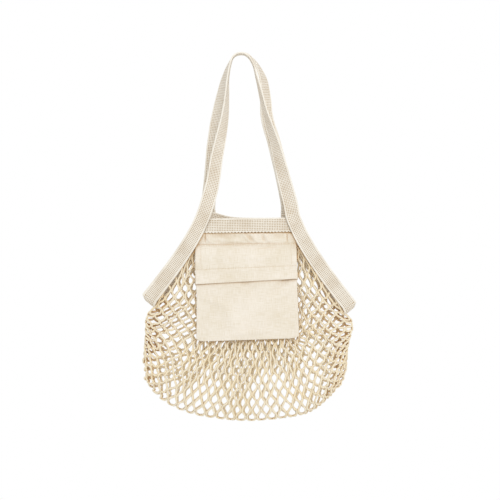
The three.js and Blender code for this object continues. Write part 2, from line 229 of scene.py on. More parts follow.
@dataclass(frozen=True)
class Corner:
    """Where a side band folds over: out and down from the front foot as shares of the bag's
    width and drop, and the band's width and the back run's set-in as shares of the webbing."""

    out: float
    down: float
    width: float
    inward: float


@dataclass(frozen=True)
class Run:
    """A stretch of side band: its middle line, directions and width at each place."""

    middle: Array
    down: Array
    out: Array
    width: Array
    reach: float


HANDLE_ROWS = {
    Face.FRONT: (
        HandleRow(down=0.0, left=0.1, right=0.08, turn=0.0),
        HandleRow(down=0.02, left=0.195, right=0.152, turn=0.0),
        HandleRow(down=0.065, left=0.258, right=0.226, turn=0.02),
        HandleRow(down=0.14, left=0.309, right=0.284, turn=0.04),
        HandleRow(down=0.25, left=0.339, right=0.366, turn=0.15),
        HandleRow(down=0.34, left=0.36, right=0.43, turn=0.25, slim=0.08),
        HandleRow(down=0.43, left=0.415, right=0.512, turn=0.39, slim=0.12),
        HandleRow(down=0.53, left=0.497, right=0.6, turn=0.52, slim=0.13),
        HandleRow(down=0.64, left=0.584, right=0.686, turn=0.63, slim=0.08),
        HandleRow(down=0.79, left=0.678, right=0.8, turn=0.76),
        HandleRow(down=0.92, left=0.813, right=0.9, turn=0.97),
    ),
    Face.BACK: (
        HandleRow(down=0.0, left=0.1, right=0.11, turn=0.0),
        HandleRow(down=0.02, left=0.2, right=0.203, turn=0.06),
        HandleRow(down=0.065, left=0.296, right=0.3, turn=0.18),
        HandleRow(down=0.14, left=0.39, right=0.408, turn=0.33),
        HandleRow(down=0.25, left=0.482, right=0.449, turn=0.53),
        HandleRow(down=0.34, left=0.547, right=0.462, turn=0.66),
        HandleRow(down=0.43, left=0.607, right=0.512, turn=0.73),
        HandleRow(down=0.53, left=0.658, right=0.605, turn=0.8),
        HandleRow(down=0.64, left=0.696, right=0.687, turn=0.87),
        HandleRow(down=0.79, left=0.744, right=0.79, turn=0.94),
        HandleRow(down=0.92, left=0.797, right=0.858, turn=1.0),
    ),
}

FEET = {
    (Face.FRONT, Side.LEFT): Foot(out=1.0, lean=24.0),
    (Face.FRONT, Side.RIGHT): Foot(out=1.0, lean=22.0),
    (Face.BACK, Side.LEFT): Foot(out=0.868, lean=22.0),
    (Face.BACK, Side.RIGHT): Foot(out=0.916, lean=20.0),
}

CORNERS = {
    Side.LEFT: Corner(out=0.247, down=0.381, width=1.12, inward=0.28),
    Side.RIGHT: Corner(out=0.264, down=0.418, width=1.04, inward=0.28),
}


@dataclass(frozen=True)
class FoldRow:
    """A place on the net's outline: across from the mouth's middle as a share of the bag's width,
    and down from the rim as a share of its drop."""

    across: float
    down: float


# The outline lies a little inside that of the flat solid, because the cords there are round and
# stand out from it by half their thickness.
FOLD_ROWS = (
    FoldRow(across=-0.503, down=0.58),
    FoldRow(across=-0.506, down=0.664),
    FoldRow(across=-0.493, down=0.763),
    FoldRow(across=-0.449, down=0.855),
    FoldRow(across=-0.379, down=0.917),
    FoldRow(across=-0.282, down=0.962),
    FoldRow(across=-0.165, down=0.986),
    FoldRow(across=-0.009, down=1.0),
    FoldRow(across=0.157, down=0.986),
    FoldRow(across=0.261, down=0.963),
    FoldRow(across=0.346, down=0.906),
    FoldRow(across=0.407, down=0.829),
    FoldRow(across=0.451, down=0.726),
    FoldRow(across=0.481, down=0.617),
)


@dataclass(frozen=True)
class BagForm:
    """Where the webbing, the net and the pouch lie.

    The sizes are those of the solids. Only the cords' and cloth's own departures from them are
    added: how far the net lies under the bands and swells at its corners, and how the two rims
    tilt and rise.
    """

    handle_drop: float = 285.0
    bag_drop: float = 353.0
    bag_width: float = 373.0
    feet_spacing: float = 169.0
    hang_share: float = 0.43
    webbing_width: float = 25.0
    webbing_thick: float = 3.0
    mouth_gap: float = 30.0
    corner_gap: float = 14.0
    belly_depth: float = 64.0
    net_thick: float = 3.0
    net_set_in: float = 1.5
    net_under: float = 5.0
    back_net_under: float = 1.0
    corner_swell: float = 4.5
    mouth_shift: float = 3.0
    rim_tilt: float = 1.2
    back_rise: float = 15.0
    back_rise_reach: float = 0.225
    back_rise_power: float = 1.9
    panel_thick: float = 1.0
    clear: float = 0.3
    band_bend: float = 0.3
    lift_from: float = 0.25
    lift_to: float = 0.65
    net_starts: float = 0.1
    net_narrows: float = 0.2
    net_loosens: float = 0.7
    net_is_free: float = 0.95
    corner_fall: float = 0.8
    pouch_lean: float = 0.04

    @property
    def rim_z(self) -> float:
        """Height of the middle of the front rim band."""
        return -self.handle_drop - self.webbing_width / 2

    @property
    def feet_x(self) -> float:
        """Middle between the front handle's feet."""
        return self.feet_spacing * (0.5 - self.hang_share)

    @property
    def mouth_x(self) -> float:
        """Middle of the net at the mouth."""
        return self.feet_x + self.mouth_shift

    @property
    def mouth_depth(self) -> float:
        """Depth of the net's outside at the mouth."""
        return self.mouth_gap / 2

    @property
    def corner_depth(self) -> float:
        """Depth of the net's outside at the side bands' folds."""
        return self.corner_gap / 2

    def rim_face(self, face: Face) -> float:
        """Depth of a rim band's inner face. The front one lies over the pouch's backing."""
        backing = self.panel_thick + self.clear if face is Face.FRONT else 0.0
        return self.mouth_depth + self.clear + backing

    def strap_face(self, face: Face) -> float:
        """Depth of a strap's inner face at its foot, over the rim band."""
        return self.rim_face(face) + self.webbing_thick + self.clear

    def foot_reach(self, side: Side) -> float:
        """X of a front foot."""
        share = self.hang_share if side is Side.LEFT else 1.0 - self.hang_share
        return side.value * self.feet_spacing * share

    def foot(self, face: Face, side: Side) -> tuple[Array, Array]:
        """Find a handle's foot in the flat.

        Args:
            face: The face that the handle is on.
            side: The side of the bag.

        Returns:
            The foot's middle, and the webbing's direction down from it.
        """
        row = FEET[face, side]
        lean = math.radians(row.lean) * side.value
        middle = np.array([self.foot_reach(side) * row.out, self.rim_z])
        return middle, np.array([math.sin(lean), -math.cos(lean)])

    def band_run(self, face: Face, side: Side, at: Array) -> Run:
        """Find a side band's run on one face.

        Args:
            face: The face it lies on.
            side: The side of the bag.
            at: Shares of the way from the foot, 0, to where the fold begins, 1.

        Returns:
            The run at those shares.
        """
        corner = CORNERS[side]
        start, lean = self.foot(face, side)
        front_foot, _ = self.foot(Face.FRONT, side)
        tip = front_foot + [side.value * corner.out * self.bag_width, -corner.down * self.bag_drop]
        towards = unit(tip - front_foot)
        end = tip - towards * (self.corner_depth + self.clear + self.webbing_thick)
        if face is Face.BACK:
            end = end - self.outward(towards, side) * corner.inward * self.webbing_width
        reach = float(np.linalg.norm(end - start))
        bend = start + lean * reach * self.band_bend
        t = np.asarray(at, float)[..., None]
        middle = (1 - t) ** 2 * start + 2 * t * (1 - t) * bend + t**2 * end
        down = unit((1 - t) * (bend - start) + t * (end - bend))
        width = self.webbing_width * mix(1.0, corner.width, t[..., 0])
        return Run(middle, down, self.outward(down, side), width, reach)

    @staticmethod
    def outward(down: Array, side: Side) -> Array:
        """Direction from a downward run to the outside of the bag."""
        return np.stack([-down[..., 1], down[..., 0]], axis=-1) * side.value

    def net_edge_depth(self, at: Array) -> Array:
        """Depth of the net's edge along a side band's run."""
        share = np.clip((at - self.net_narrows) / (1 - self.net_narrows), 0.0, 1.0)
        return mix(self.mouth_depth, self.corner_depth, share)

    def band_face_depth(self, face: Face, at: Array) -> Array:
        """Find the depth of a side band's inner face, which starts over the rim and comes down.

        Args:
            face: The face of the bag.
            at: Shares of the way from the foot to where the fold begins.

        Returns:
            The depths.
        """
        over = self.strap_face(face) - self.mouth_depth - self.clear
        lifted = over * (1.0 - smoothstep(at, self.lift_from, self.lift_to))
        return self.net_edge_depth(at) + self.clear + lifted

    def net_side(self, face: Face, side: Side, share: Array) -> tuple[Array, Array, Array]:
        """Find the net's edge, sewn under the side band's inner edge and free inside its fold.

        Args:
            face: The net's face.
            side: The side of the bag.
            share: Shares of the way from the mouth, 0, to the fold's inside, 1.

        Returns:
            The places in the flat, the outward directions and the depths.
        """
        _, _, reach = self.band_end(face, side)
        along = mix(self.net_starts, 1 + self.corner_depth / reach, np.asarray(share, float))
        past = np.clip((along - 1) * reach / self.corner_depth, 0.0, 1.0)
        at = np.minimum(along, 1.0)

        sewn = self.net_under if face is Face.FRONT else self.back_net_under
        loose = smoothstep(share, self.net_loosens, self.net_is_free)
        under = mix(sewn, -self.net_set_in, loose)

        def edge(which: Face) -> Array:
            """Find the net's edge by the band on one face.

            Args:
                which: The face.

            Returns:
                The places in the flat.
            """
            run = self.band_run(which, side, at)
            inside = run.middle + run.out * (under - run.width / 2)[..., None]
            return inside + run.down * (past * self.corner_depth)[..., None]

        other = Face.BACK if face is Face.FRONT else Face.FRONT
        flat = mix(edge(face), edge(other), (past / 2)[..., None])
        depth = self.net_edge_depth(at) * np.sqrt(1 - past**2)
        return flat, self.band_run(face, side, at).out, depth

    def band_end(self, face: Face, side: Side) -> tuple[Array, Array, float]:
        """Middle and direction of a side band where its fold begins, and the run's reach."""
        run = self.band_run(face, side, np.array([1.0]))
        return run.middle[0], run.down[0], run.reach

    @cached_property
    def fold_curve(self) -> SoftCurve:
        """Draw the net's outline in the flat, from the left corner under the bag to the right one.

        Returns:
            The outline.
        """
        ends = []
        for side in Side:
            flat, out, _ = self.net_side(Face.FRONT, side, np.array([1.0]))
            _, down, _ = self.band_end(Face.FRONT, side)
            fall = down * self.webbing_width * self.corner_fall
            below = flat[0] + fall + out[0] * self.corner_swell
            ends.append((flat[0], below))
        rows = [
            [self.mouth_x + row.across * self.bag_width, -self.handle_drop - row.down * self.bag_drop]
            for row in FOLD_ROWS
        ]
        (left, below_left), (right, below_right) = ends
        return SoftCurve(np.array([left, below_left, *rows, below_right, right]))

    @cached_property
    def fold_length(self) -> float:
        """Length of the net's outline below the corners."""
        return float(running_length(self.fold_curve.at(np.linspace(0.0, 1.0, CURVE_DIVISIONS)))[-1])

    def rim_height(self, face: Face, x: Array) -> Array:
        """Find the height of a rim band's middle line.

        Args:
            face: The face. The front band rises evenly to the right, and the back one only
                towards its left end.
            x: Where to look.

        Returns:
            The heights.
        """
        share = np.clip((x - self.foot_reach(Side.LEFT)) / self.feet_spacing, 0.0, 1.0)
        if face is Face.FRONT:
            return self.rim_z + self.rim_tilt * (2 * share - 1)
        rise = np.exp(-((share / self.back_rise_reach) ** self.back_rise_power))
        return self.rim_z + self.rim_tilt + self.back_rise * rise

    def pouch_depth(self, z: Array) -> Array:
        """Depth of the surface that the pouch hangs on: upright, then leaning out a little."""
        below = np.maximum(self.rim_z - self.webbing_width - z, 0.0)
        return self.mouth_depth + self.clear + self.pouch_lean * below


def linear(colour: str) -> tuple[float, float, float, float]:
    """Turn an sRGB colour into a linear one.

    Args:
        colour: The colour as a hash sign and six hex digits.

    Returns:
        Linear red, green, blue and alpha.
    """
    channels = [int(colour[at : at + 2], 16) / 255 for at in (1, 3, 5)]
    straight = [c / 12.92 if c <= 0.04045 else ((c + 0.055) / 1.055) ** 2.4 for c in channels]
    return (*straight, 1.0)


def add_node(
    tree: bpy.types.NodeTree, kind: str, settings: dict | None = None, **inputs: object
) -> bpy.types.Node:
    """Add a node with its settings, socket values and links.

    Args:
        tree: The node tree.
        kind: The node's type name.
        settings: Properties of the node itself.
        **inputs: For each socket, by name or as in0, in1 and so on, a value, a socket to link, or
            a node whose first output is linked.

    Returns:
        The new node.
    """
    node = tree.nodes.new(kind)
    for key, value in (settings or {}).items():
        setattr(node, key, value)
    for key, value in inputs.items():
        numbered = key.startswith("in") and key[2:].isdigit()
        socket = node.inputs[int(key[2:])] if numbered else node.inputs[key.replace("_", " ")]
        source = value.outputs[0] if isinstance(value, bpy.types.Node) else value
        if isinstance(source, bpy.types.NodeSocket):
            tree.links.new(source, socket)
        else:
            socket.default_value = source
    return node


# A wave texture of scale 1 repeats after this length in metres along one axis, and after this sum
# of steps along all axes where its bands are diagonal.
WAVE_STRAIGHT = math.tau / 20
WAVE_DIAGONAL = math.tau / 10


@dataclass(frozen=True)
class CottonFinish:
    """What every cotton in the bag shares.

    Undyed cotton is matt with a soft bloom on its fibres. Crevices get painted shade: an ambient
    occlusion node turns the colour towards a warm brown, which stands in for the shade there and the
    browner light that bounces between threads that lie close together. crevice is the reach in
    millimetres that counts as close. The painted shade is whole where less than crevice_whole of the
    light gets in, and is gone where more than crevice_none does. Soft patches of blotch millimetres
    shift the colour by up to blotch_strength.
    """

    name: str
    light: str
    shade: str
    painted_crevice_shade: str = "#B4925E"
    roughness: float = 0.92
    sheen: float = 0.2
    sheen_roughness: float = 0.6
    specular: float = 0.25
    relief: float = 0.3
    crevice: float = 9.0
    crevice_whole: float = 0.1
    crevice_none: float = 0.75
    crevice_samples: int = 6
    blotch: float = 30.0
    blotch_strength: float = 0.15
    blotch_range: tuple[float, float] = (0.3, 0.7)

    def begin(self) -> tuple[bpy.types.Material, bpy.types.NodeTree, bpy.types.Node]:
        """Start an empty material.

        Returns:
            The material, its node tree and the node with its cloth coordinates.
        """
        material = bpy.data.materials.new(self.name)
        material.use_nodes = True
        tree = material.node_tree
        tree.nodes.clear()
        return material, tree, add_node(tree, "ShaderNodeUVMap", {"uv_map": "cloth"})

    def dye(self, tree: bpy.types.NodeTree, tone: bpy.types.Node, height: bpy.types.Node) -> None:
        """Colour the cotton, paint shade into its crevices and raise its relief.

        Args:
            tree: The node tree.
            tone: Gives 0 where the shade colour shows and 1 where the light one does.
            height: Gives the relief, as a share of its full height.
        """
        space = add_node(tree, "ShaderNodeTexCoord").outputs["Object"]
        patches = add_node(tree, "ShaderNodeTexNoise", Vector=space, Scale=1 / (self.blotch * MM))
        low, high = self.blotch_range
        strength = self.blotch_strength
        limits = {"From_Min": low, "From_Max": high, "To_Min": -strength, "To_Max": strength}
        uneven = add_node(tree, "ShaderNodeMapRange", Value=patches, **limits)
        share = add_node(tree, "ShaderNodeMath", {"use_clamp": True}, in0=tone, in1=uneven)
        blend = {"in0": share, "in6": linear(self.shade), "in7": linear(self.light)}
        dyed = add_node(tree, "ShaderNodeMix", {"data_type": "RGBA"}, **blend)
        # Painted shade: ambient occlusion turns the colour to a warm brown in crevices and where parts
        # lie close.
        settings = {"samples": self.crevice_samples}
        near = add_node(tree, "ShaderNodeAmbientOcclusion", settings, Distance=self.crevice * MM)
        limits = {"From_Min": self.crevice_whole, "From_Max": self.crevice_none}
        clear = add_node(tree, "ShaderNodeMapRange", Value=near.outputs["AO"], **limits)
        blend = {"in0": clear, "in6": linear(self.painted_crevice_shade), "in7": dyed.outputs[2]}
        painted_shade_colour = add_node(tree, "ShaderNodeMix", {"data_type": "RGBA"}, **blend)
        bump = add_node(tree, "ShaderNodeBump", Height=height, Distance=self.relief * MM)
        shader = add_node(
            tree,
            "ShaderNodeBsdfPrincipled",
            Base_Color=painted_shade_colour.outputs[2],
            Normal=bump,
            Roughness=self.roughness,
            Sheen_Weight=self.sheen,
            Sheen_Roughness=self.sheen_roughness,
            Specular_IOR_Level=self.specular,
        )
        add_node(tree, "ShaderNodeOutputMaterial", Surface=shader)


@dataclass(frozen=True)
class WebbingFinish(CottonFinish):
    """Cotton webbing, woven open on a coarse grid.

    The weave is not cut through: its rows of small brown holes between bundles of threads are
    painted in the shade colour, painted shade for the dark that shows through them. At both edges a
    paler selvedge has no painted holes. The real cell of 2.9 mm from hole to hole shows, and is drawn
    as it is. The selvedge starts plain_from from the middle and is whole after plain_ramp more. Fuzz
    and ribs are shares of the height of a bundle.
    """

    cell: float = 2.9
    plain_from: float = 10.3
    plain_ramp: float = 0.7
    fuzz: float = 1.4
    fuzz_height: float = 0.5
    rib_height: float = 0.35
    tone_range: tuple[float, float] = (0.45, 1.0)

    def make(self) -> bpy.types.Material:
        """Build the webbing's material.

        Returns:
            The material.
        """
        material, tree, cloth = self.begin()
        bands = WAVE_STRAIGHT / (self.cell * MM)
        warp, weft = (
            add_node(tree, "ShaderNodeTexWave", {"bands_direction": way}, Vector=cloth, Scale=bands)
            for way in "XY"
        )
        bundles = add_node(tree, "ShaderNodeMath", {"operation": "MAXIMUM"}, in0=warp, in1=weft)
        parts = add_node(tree, "ShaderNodeSeparateXYZ", Vector=cloth)
        across = add_node(tree, "ShaderNodeMath", {"operation": "ABSOLUTE"}, in0=parts)
        begins, whole = self.plain_from * MM, (self.plain_from + self.plain_ramp) * MM
        selvedge = add_node(tree, "ShaderNodeMapRange", Value=across, From_Min=begins, From_Max=whole)
        # Painted shade: between the bundles the holes take the brown shade colour; the selvedge has
        # none.
        closed = add_node(tree, "ShaderNodeMath", {"operation": "MAXIMUM"}, in0=bundles, in1=selvedge)
        fuzz = add_node(tree, "ShaderNodeTexNoise", Vector=cloth, Scale=1 / (self.fuzz * MM))
        adds = {"operation": "MULTIPLY_ADD"}
        uneven = add_node(tree, "ShaderNodeMath", adds, in0=fuzz, in1=self.fuzz_height, in2=closed)
        low, high = self.tone_range
        tone = add_node(tree, "ShaderNodeMapRange", Value=uneven, From_Min=low, From_Max=high)
        ribbed = add_node(tree, "ShaderNodeMath", adds, in0=weft, in1=self.rib_height, in2=uneven)
        self.dye(tree, tone, ribbed)
        return material


@dataclass(frozen=True)
class NetFinish(CottonFinish):
    """Soft knitted cotton cord.

    The eye sees slanting stitches along each bar and a fibrous surface, both drawn at their real
    size: the grooves between stitches take the shade colour as painted shade, and the fibres vary
    the tone at random. Between cords that lie close together is honey-coloured painted shade.
    """

    stitch: float = 2.2
    fuzz: float = 1.2
    fuzz_height: float = 0.5
    tone_top: float = 1.1

    def make(self) -> bpy.types.Material:
        """Build the net cord's material.

        Returns:
            The material.
        """
        material, tree, cloth = self.begin()
        bands = WAVE_DIAGONAL / (self.stitch * MM)
        stitches = add_node(
            tree, "ShaderNodeTexWave", {"bands_direction": "DIAGONAL"}, Vector=cloth, Scale=bands
        )
        fuzz = add_node(tree, "ShaderNodeTexNoise", Vector=cloth, Scale=1 / (self.fuzz * MM))
        adds = {"operation": "MULTIPLY_ADD"}
        height = add_node(tree, "ShaderNodeMath", adds, in0=fuzz, in1=self.fuzz_height, in2=stitches)
        # Painted shade: the stitches' grooves go to the shade colour, and the fuzz varies the tone at
        # random.
        tone = add_node(tree, "ShaderNodeMapRange", Value=height, From_Max=self.tone_top)
        self.dye(tree, tone, height)
        return material


@dataclass(frozen=True)
class CalicoFinish(CottonFinish):
    """Plain-woven calico, whose eye-catching marks are slubs, the thicker stretches of its yarns.

    The threads are too fine to show at their real 0.5 mm, so they are drawn as coarse as 0.9 mm.
    The weave's height is a share of a slub's.
    """

    thread: float = 0.9
    weave_height: float = 0.35
    slub_length: float = 14.0
    slub_width: float = 1.1
    tone_range: tuple[float, float] = (0.55, 1.25)

    def make(self) -> bpy.types.Material:
        """Build the calico's material.

        Returns:
            The material.
        """
        material, tree, cloth = self.begin()
        bands = WAVE_STRAIGHT / (self.thread * MM)
        warp, weft = (
            add_node(tree, "ShaderNodeTexWave", {"bands_direction": way}, Vector=cloth, Scale=bands)
            for way in "XY"
        )
        weave = add_node(tree, "ShaderNodeMath", {"operation": "MULTIPLY"}, in0=warp, in1=weft)
        fine, long = 1 / (self.slub_width * MM), 1 / (self.slub_length * MM)
        upright, level = (
            add_node(
                tree,
                "ShaderNodeTexNoise",
                Vector=add_node(tree, "ShaderNodeMapping", Vector=cloth, Scale=scale),
                Scale=1.0,
            )
            for scale in ((fine, long, 1.0), (long, fine, 1.0))
        )
        slubs = add_node(tree, "ShaderNodeMath", in0=upright, in1=level)
        adds = {"operation": "MULTIPLY_ADD"}
        height = add_node(tree, "ShaderNodeMath", adds, in0=weave, in1=self.weave_height, in2=slubs)
        low, high = self.tone_range
        tone = add_node(tree, "ShaderNodeMapRange", Value=slubs, From_Min=low, From_Max=high)
        self.dye(tree, tone, height)
        return material


@dataclass(frozen=True)
class ThreadFinish(CottonFinish):
    """Two-ply sewing thread, which shows as a fine slanting twist, with painted shade in the grooves
    between its plies.
    """

    twist: float = 0.8

    def make(self) -> bpy.types.Material:
        """Build the sewing thread's material.

        Returns:
            The material.
        """
        material, tree, cloth = self.begin()
        bands = WAVE_DIAGONAL / (self.twist * MM)
        plies = add_node(
            tree, "ShaderNodeTexWave", {"bands_direction": "DIAGONAL"}, Vector=cloth, Scale=bands
        )
        self.dye(tree, plies, plies)
        return material


@dataclass
class MeshDraft:
    """Points and faces gathered for one mesh, with cloth coordinates at every face corner."""

    points: list[Array] = field(default_factory=list)
    faces: list[list[int]] = field(default_factory=list)
    coords: list[Array] = field(default_factory=list)
    count: int = 0

    def add(self, points: Array, faces: Array, coords: Array) -> None:
        """Add a block of points and faces.

        Args:
            points: Points in millimetres, one in each row.
            faces: Corners of the faces in this block's own numbering.
            coords: Cloth coordinates in millimetres, for each point or for each face corner.
        """
        faces = np.asarray(faces)
        corner_coords = coords[faces] if coords.ndim == 2 else coords
        self.points.append(points)
        self.faces.extend((faces + self.count).tolist())
        self.coords.append(corner_coords.reshape(-1, 2))
        self.count += len(points)

    def build(self, name: str, material: bpy.types.Material) -> bpy.types.Object:
        """Make the mesh object, in metres.

        Args:
            name: The piece's name.
            material: Its one material.

        Returns:
            The object, linked to the scene.
        """
        mesh = bpy.data.meshes.new(name)
        mesh.from_pydata((np.vstack(self.points) * MM).tolist(), [], self.faces)
        layer = mesh.uv_layers.new(name="cloth")
        layer.data.foreach_set("uv", (np.vstack(self.coords) * MM).ravel())
        mesh.polygons.foreach_set("use_smooth", np.ones(len(mesh.polygons), bool))
        mesh.materials.append(material)
        piece = bpy.data.objects.new(name, mesh)
        bpy.context.scene.collection.objects.link(piece)
        return piece


def ring_faces(rings: int, sides: int) -> Array:
    """Join the rings of a tube.

    Args:
        rings: How many rings the tube has.
        sides: How many points a ring has.

    Returns:
        The quads' corners.
    """
    ring, side = np.meshgrid(np.arange(rings - 1), np.arange(sides), indexing="ij")
    a = ring * sides + side
    b = ring * sides + (side + 1) % sides
    return np.stack([a, b, b + sides, a + sides], axis=-1).reshape(-1, 4)


def grid_faces(rows: int, columns: int) -> Array:
    """Join the points of a grid that is stored row by row.

    Args:
        rows: How many rows of points it has.
        columns: How many points a row has.

    Returns:
        The quads' corners.
    """
    row, column = np.meshgrid(np.arange(rows - 1), np.arange(columns - 1), indexing="ij")
    a = row * columns + column
    return np.stack([a, a + columns, a + columns + 1, a + 1], axis=-1).reshape(-1, 4)


@dataclass(frozen=True)
class Cord:
    """A round cord: its thickness, its sides and its steps from one point of a line to the next.

    swell is how much it thickens and thins as a share, and swell_size how far apart in millimetres.
    """

    thick: float
    sides: int
    steps: int
    swell: float = 0.0
    swell_size: float = 9.0

    def lay(self, draft: MeshDraft, line: Array, seed: int = 0) -> None:
        """Add the cord along a smooth curve through a line's points.

        Args:
            draft: The mesh being made.
            line: The points.
            seed: Picks where the cord swells.
        """
        spans = (len(line) - 1) * self.steps
        places = SoftCurve(line).at(np.linspace(0.0, 1.0, spans + 1))
        along = unit(np.gradient(places, axis=0))
        side = np.empty_like(places)
        turned = np.cross(along[0], [0.0, 1.0, 0.0])
        for step, way in enumerate(along):
            turned = unit(turned - way * (turned @ way))
            side[step] = turned
        up = np.cross(along, side)
        angle = np.arange(self.sides) / self.sides * math.tau
        length = running_length(places)
        swelling = 1 + self.swell * soft_noise(places / self.swell_size, seed)
        ring = side[:, None] * np.cos(angle)[:, None] + up[:, None] * np.sin(angle)[:, None]
        points = (places[:, None] + ring * (self.thick / 2 * swelling)[:, None, None]).reshape(-1, 3)
        turn = np.arange(self.sides + 1) / self.sides * self.thick * math.pi
        corners = np.empty((spans, self.sides, 4, 2))
        corners[..., [0, 3], 0] = turn[:-1, None]
        corners[..., [1, 2], 0] = turn[1:, None]
        corners[..., [0, 1], 1] = length[:-1, None, None]
        corners[..., [2, 3], 1] = length[1:, None, None]
        draft.add(points, ring_faces(len(places), self.sides), corners.reshape(-1, 4, 2))


def dress(piece: bpy.types.Object, slot: str, *nodes: str) -> None:
    """Tie a piece to the part's one body, and log it.

    Args:
        piece: The piece.
        slot: The material slot of the record that its finish belongs to. Not used.
        *nodes: The solids that it stands for.
    """
    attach(piece, "root")
    if nodes:
        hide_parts(*nodes)
    LOG.info("%s: %d faces", piece.name, len(piece.data.polygons))


@dataclass(frozen=True)
class Strip:
    """A length of webbing: its middle line, direction across and width, one of each a station.

    lag is how far the edges stay behind the middle at each station, the outer one and the inner
    one, scallops is how far the weft's loops stand out at those two edges, and pitch is the way
    from loop to loop.
    """

    middle: Array
    across: Array
    width: Array
    lag: Array
    scallops: tuple[float, float]
    pitch: float


@dataclass(frozen=True)
class RibbonRow:
    """A row of points along a ribbon: its place as a share of the half width, and how thick the
    ribbon is there as a share of its thickness."""

    across: float
    thick: float = 1.0


RIBBON_ROWS = (
    RibbonRow(across=1.0, thick=0.35),
    RibbonRow(across=0.985, thick=0.75),
    RibbonRow(across=0.95),
    RibbonRow(across=0.9),
    RibbonRow(across=0.84),
    RibbonRow(across=0.78),
    RibbonRow(across=0.6),
    RibbonRow(across=0.4),
    RibbonRow(across=0.2),
    RibbonRow(across=0.0),
)

RIBBON_SEEDS = {
    "handle_webbing_front": 11,
    "handle_webbing_back": 12,
    "side_webbing_left": 21,
    "side_webbing_right": 22,
    "rim_webbing_front": 31,
    "rim_webbing_back": 32,
}


@dataclass
class Webbing:
    """The loop of webbing: handles, rim bands and side bands.

    Its edges are scalloped by the weft's loops, most at the rim's lower edge, and thickened by a
    selvedge. wander is how far it curls up and down along wander_size. crown_step is how much
    higher the back handle hangs than the front one, down to crown_ends as a share of its drop.
    fold_lag is how far a side band's edges stay behind its middle where it folds over.
    """

    form: BagForm
    finish: WebbingFinish
    thick: float = 2.2
    pitch: float = 0.725
    fewest_stations: int = 8
    scallops: tuple[float, float] = (0.2, 0.2)
    scallop_pitch: float = 2.9
    rim_scallops: tuple[float, float] = (0.15, 0.8)
    rim_scallop_pitch: float = 5.8
    scallop_rise: float = 0.5
    scallop_power: int = 12
    selvedge: float = 0.22
    selvedge_at: float = 0.91
    selvedge_spread: float = 0.05
    wander: float = 0.45
    wander_size: float = 60.0
    curl_balance: float = 0.4
    lag_from: float = 0.3
    lag_power: float = 2.2
    crown_step: float = 3.2
    crown_ends: float = 0.14
    foot_run: float = 0.6
    route_divisions: int = 600
    turn_smoothing: int = 12
    run_divisions: int = 160
    rim_divisions: int = 200
    fold_divisions: int = 40
    fold_lag: tuple[float, float] = (6.5, 2.0)
    material: bpy.types.Material = field(init=False)

    def ribbon(self, draft: MeshDraft, strip: Strip, seed: int) -> None:
        """Add a length of webbing with raised, scalloped selvedges.

        Args:
            draft: The mesh being made.
            strip: The webbing's route, with evenly spaced stations.
            seed: Picks the small unevenness.
        """
        middle = strip.middle
        along = unit(np.gradient(middle, axis=0))
        across = unit(strip.across - along * (strip.across * along).sum(-1, keepdims=True))
        facing = np.cross(along, across)
        length = running_length(middle)
        rows = [*RIBBON_ROWS, *(RibbonRow(-row.across, row.thick) for row in RIBBON_ROWS[-2::-1])]
        shares = np.array([row.across for row in rows])
        edge = np.abs(shares)
        half = self.thick / 2 * np.array([row.thick for row in rows])
        half = half + self.selvedge * np.exp(-(((edge - self.selvedge_at) / self.selvedge_spread) ** 2))
        wave = np.sin(length / strip.pitch * math.tau)
        scallop = wave[:, None] * np.where(shares > 0, *strip.scallops)
        rope = 1.0 + scallop * self.scallop_rise * edge**self.scallop_power
        spots = np.stack([length / self.wander_size, np.full_like(length, seed)], axis=-1)
        uneven = self.wander * soft_noise(spots, seed)
        reach = (strip.width[:, None] / 2 + scallop) * shares
        curl = uneven[:, None] * (shares**2 - self.curl_balance)
        bend = np.clip((edge - self.lag_from) / (1.0 - self.lag_from), 0.0, 1.0) ** self.lag_power
        lag = np.where((shares > 0)[:, None], strip.lag[:, 0, None], strip.lag[:, 1, None])
        sheet = middle[:, None] + across[:, None] * reach[..., None]
        sheet += facing[:, None] * curl[..., None] + lag * bend[:, None]
        upper = sheet + facing[:, None] * (half * rope)[..., None]
        lower = sheet - facing[:, None] * (half * rope)[..., None]
        rings = np.concatenate([upper, lower[:, ::-1]], axis=1)
        sides = rings.shape[1]
        spread = np.concatenate([reach, reach[:, ::-1]], axis=1)
        coords = np.stack([spread, np.broadcast_to(length[:, None], spread.shape)], axis=-1)
        points = rings.reshape(-1, 3)
        draft.add(points, ring_faces(len(middle), sides), coords.reshape(-1, 2))
        caps = [[top, top + 1, sides - 2 - top, sides - 1 - top] for top in range(len(shares) - 1)]
        last = (len(middle) - 1) * sides
        ends = np.array(caps + [[last + corner for corner in cap[::-1]] for cap in caps])
        draft.add(points, ends, coords.reshape(-1, 2))

    def even_stations(self, middle: Array, *others: Array) -> list[Array]:
        """Space stations evenly along a line, and carry other values with them.

        Args:
            middle: The line's points.
            *others: Values that belong to the points, with a row for each.

        Returns:
            The stations, and each of the other values at them.
        """
        length = running_length(middle)
        stations = max(int(length[-1] / self.pitch), self.fewest_stations)
        even = np.linspace(0.0, length[-1], stations)

        def carry(values: Array) -> Array:
            """Interpolate values to the even stations.

            Args:
                values: A row for each of the line's points.

            Returns:
                A row for each station.
            """
            columns = values.reshape(len(values), -1).T
            moved = np.stack([np.interp(even, length, column) for column in columns], axis=-1)
            return moved.reshape((len(even), *values.shape[1:]))

        return [carry(middle), *(carry(other) for other in others)]

    def piece(self, name: str, strip: Strip) -> bpy.types.Object:
        """Make one length of webbing into a piece.

        Args:
            name: The piece's name.
            strip: The webbing's route.

        Returns:
            The piece.
        """
        draft = MeshDraft()
        self.ribbon(draft, strip, RIBBON_SEEDS[name])
        return draft.build(name, self.material)

    def handle(self, face: Face) -> bpy.types.Object:
        """Build one handle: up from the left foot, over the hang point and down to the right.

        Args:
            face: The face of the bag.

        Returns:
            The handle.
        """
        form = self.form
        strap = form.strap_face(face) + form.webbing_thick / 2
        raised = self.crown_step if face is Face.BACK else 0.0

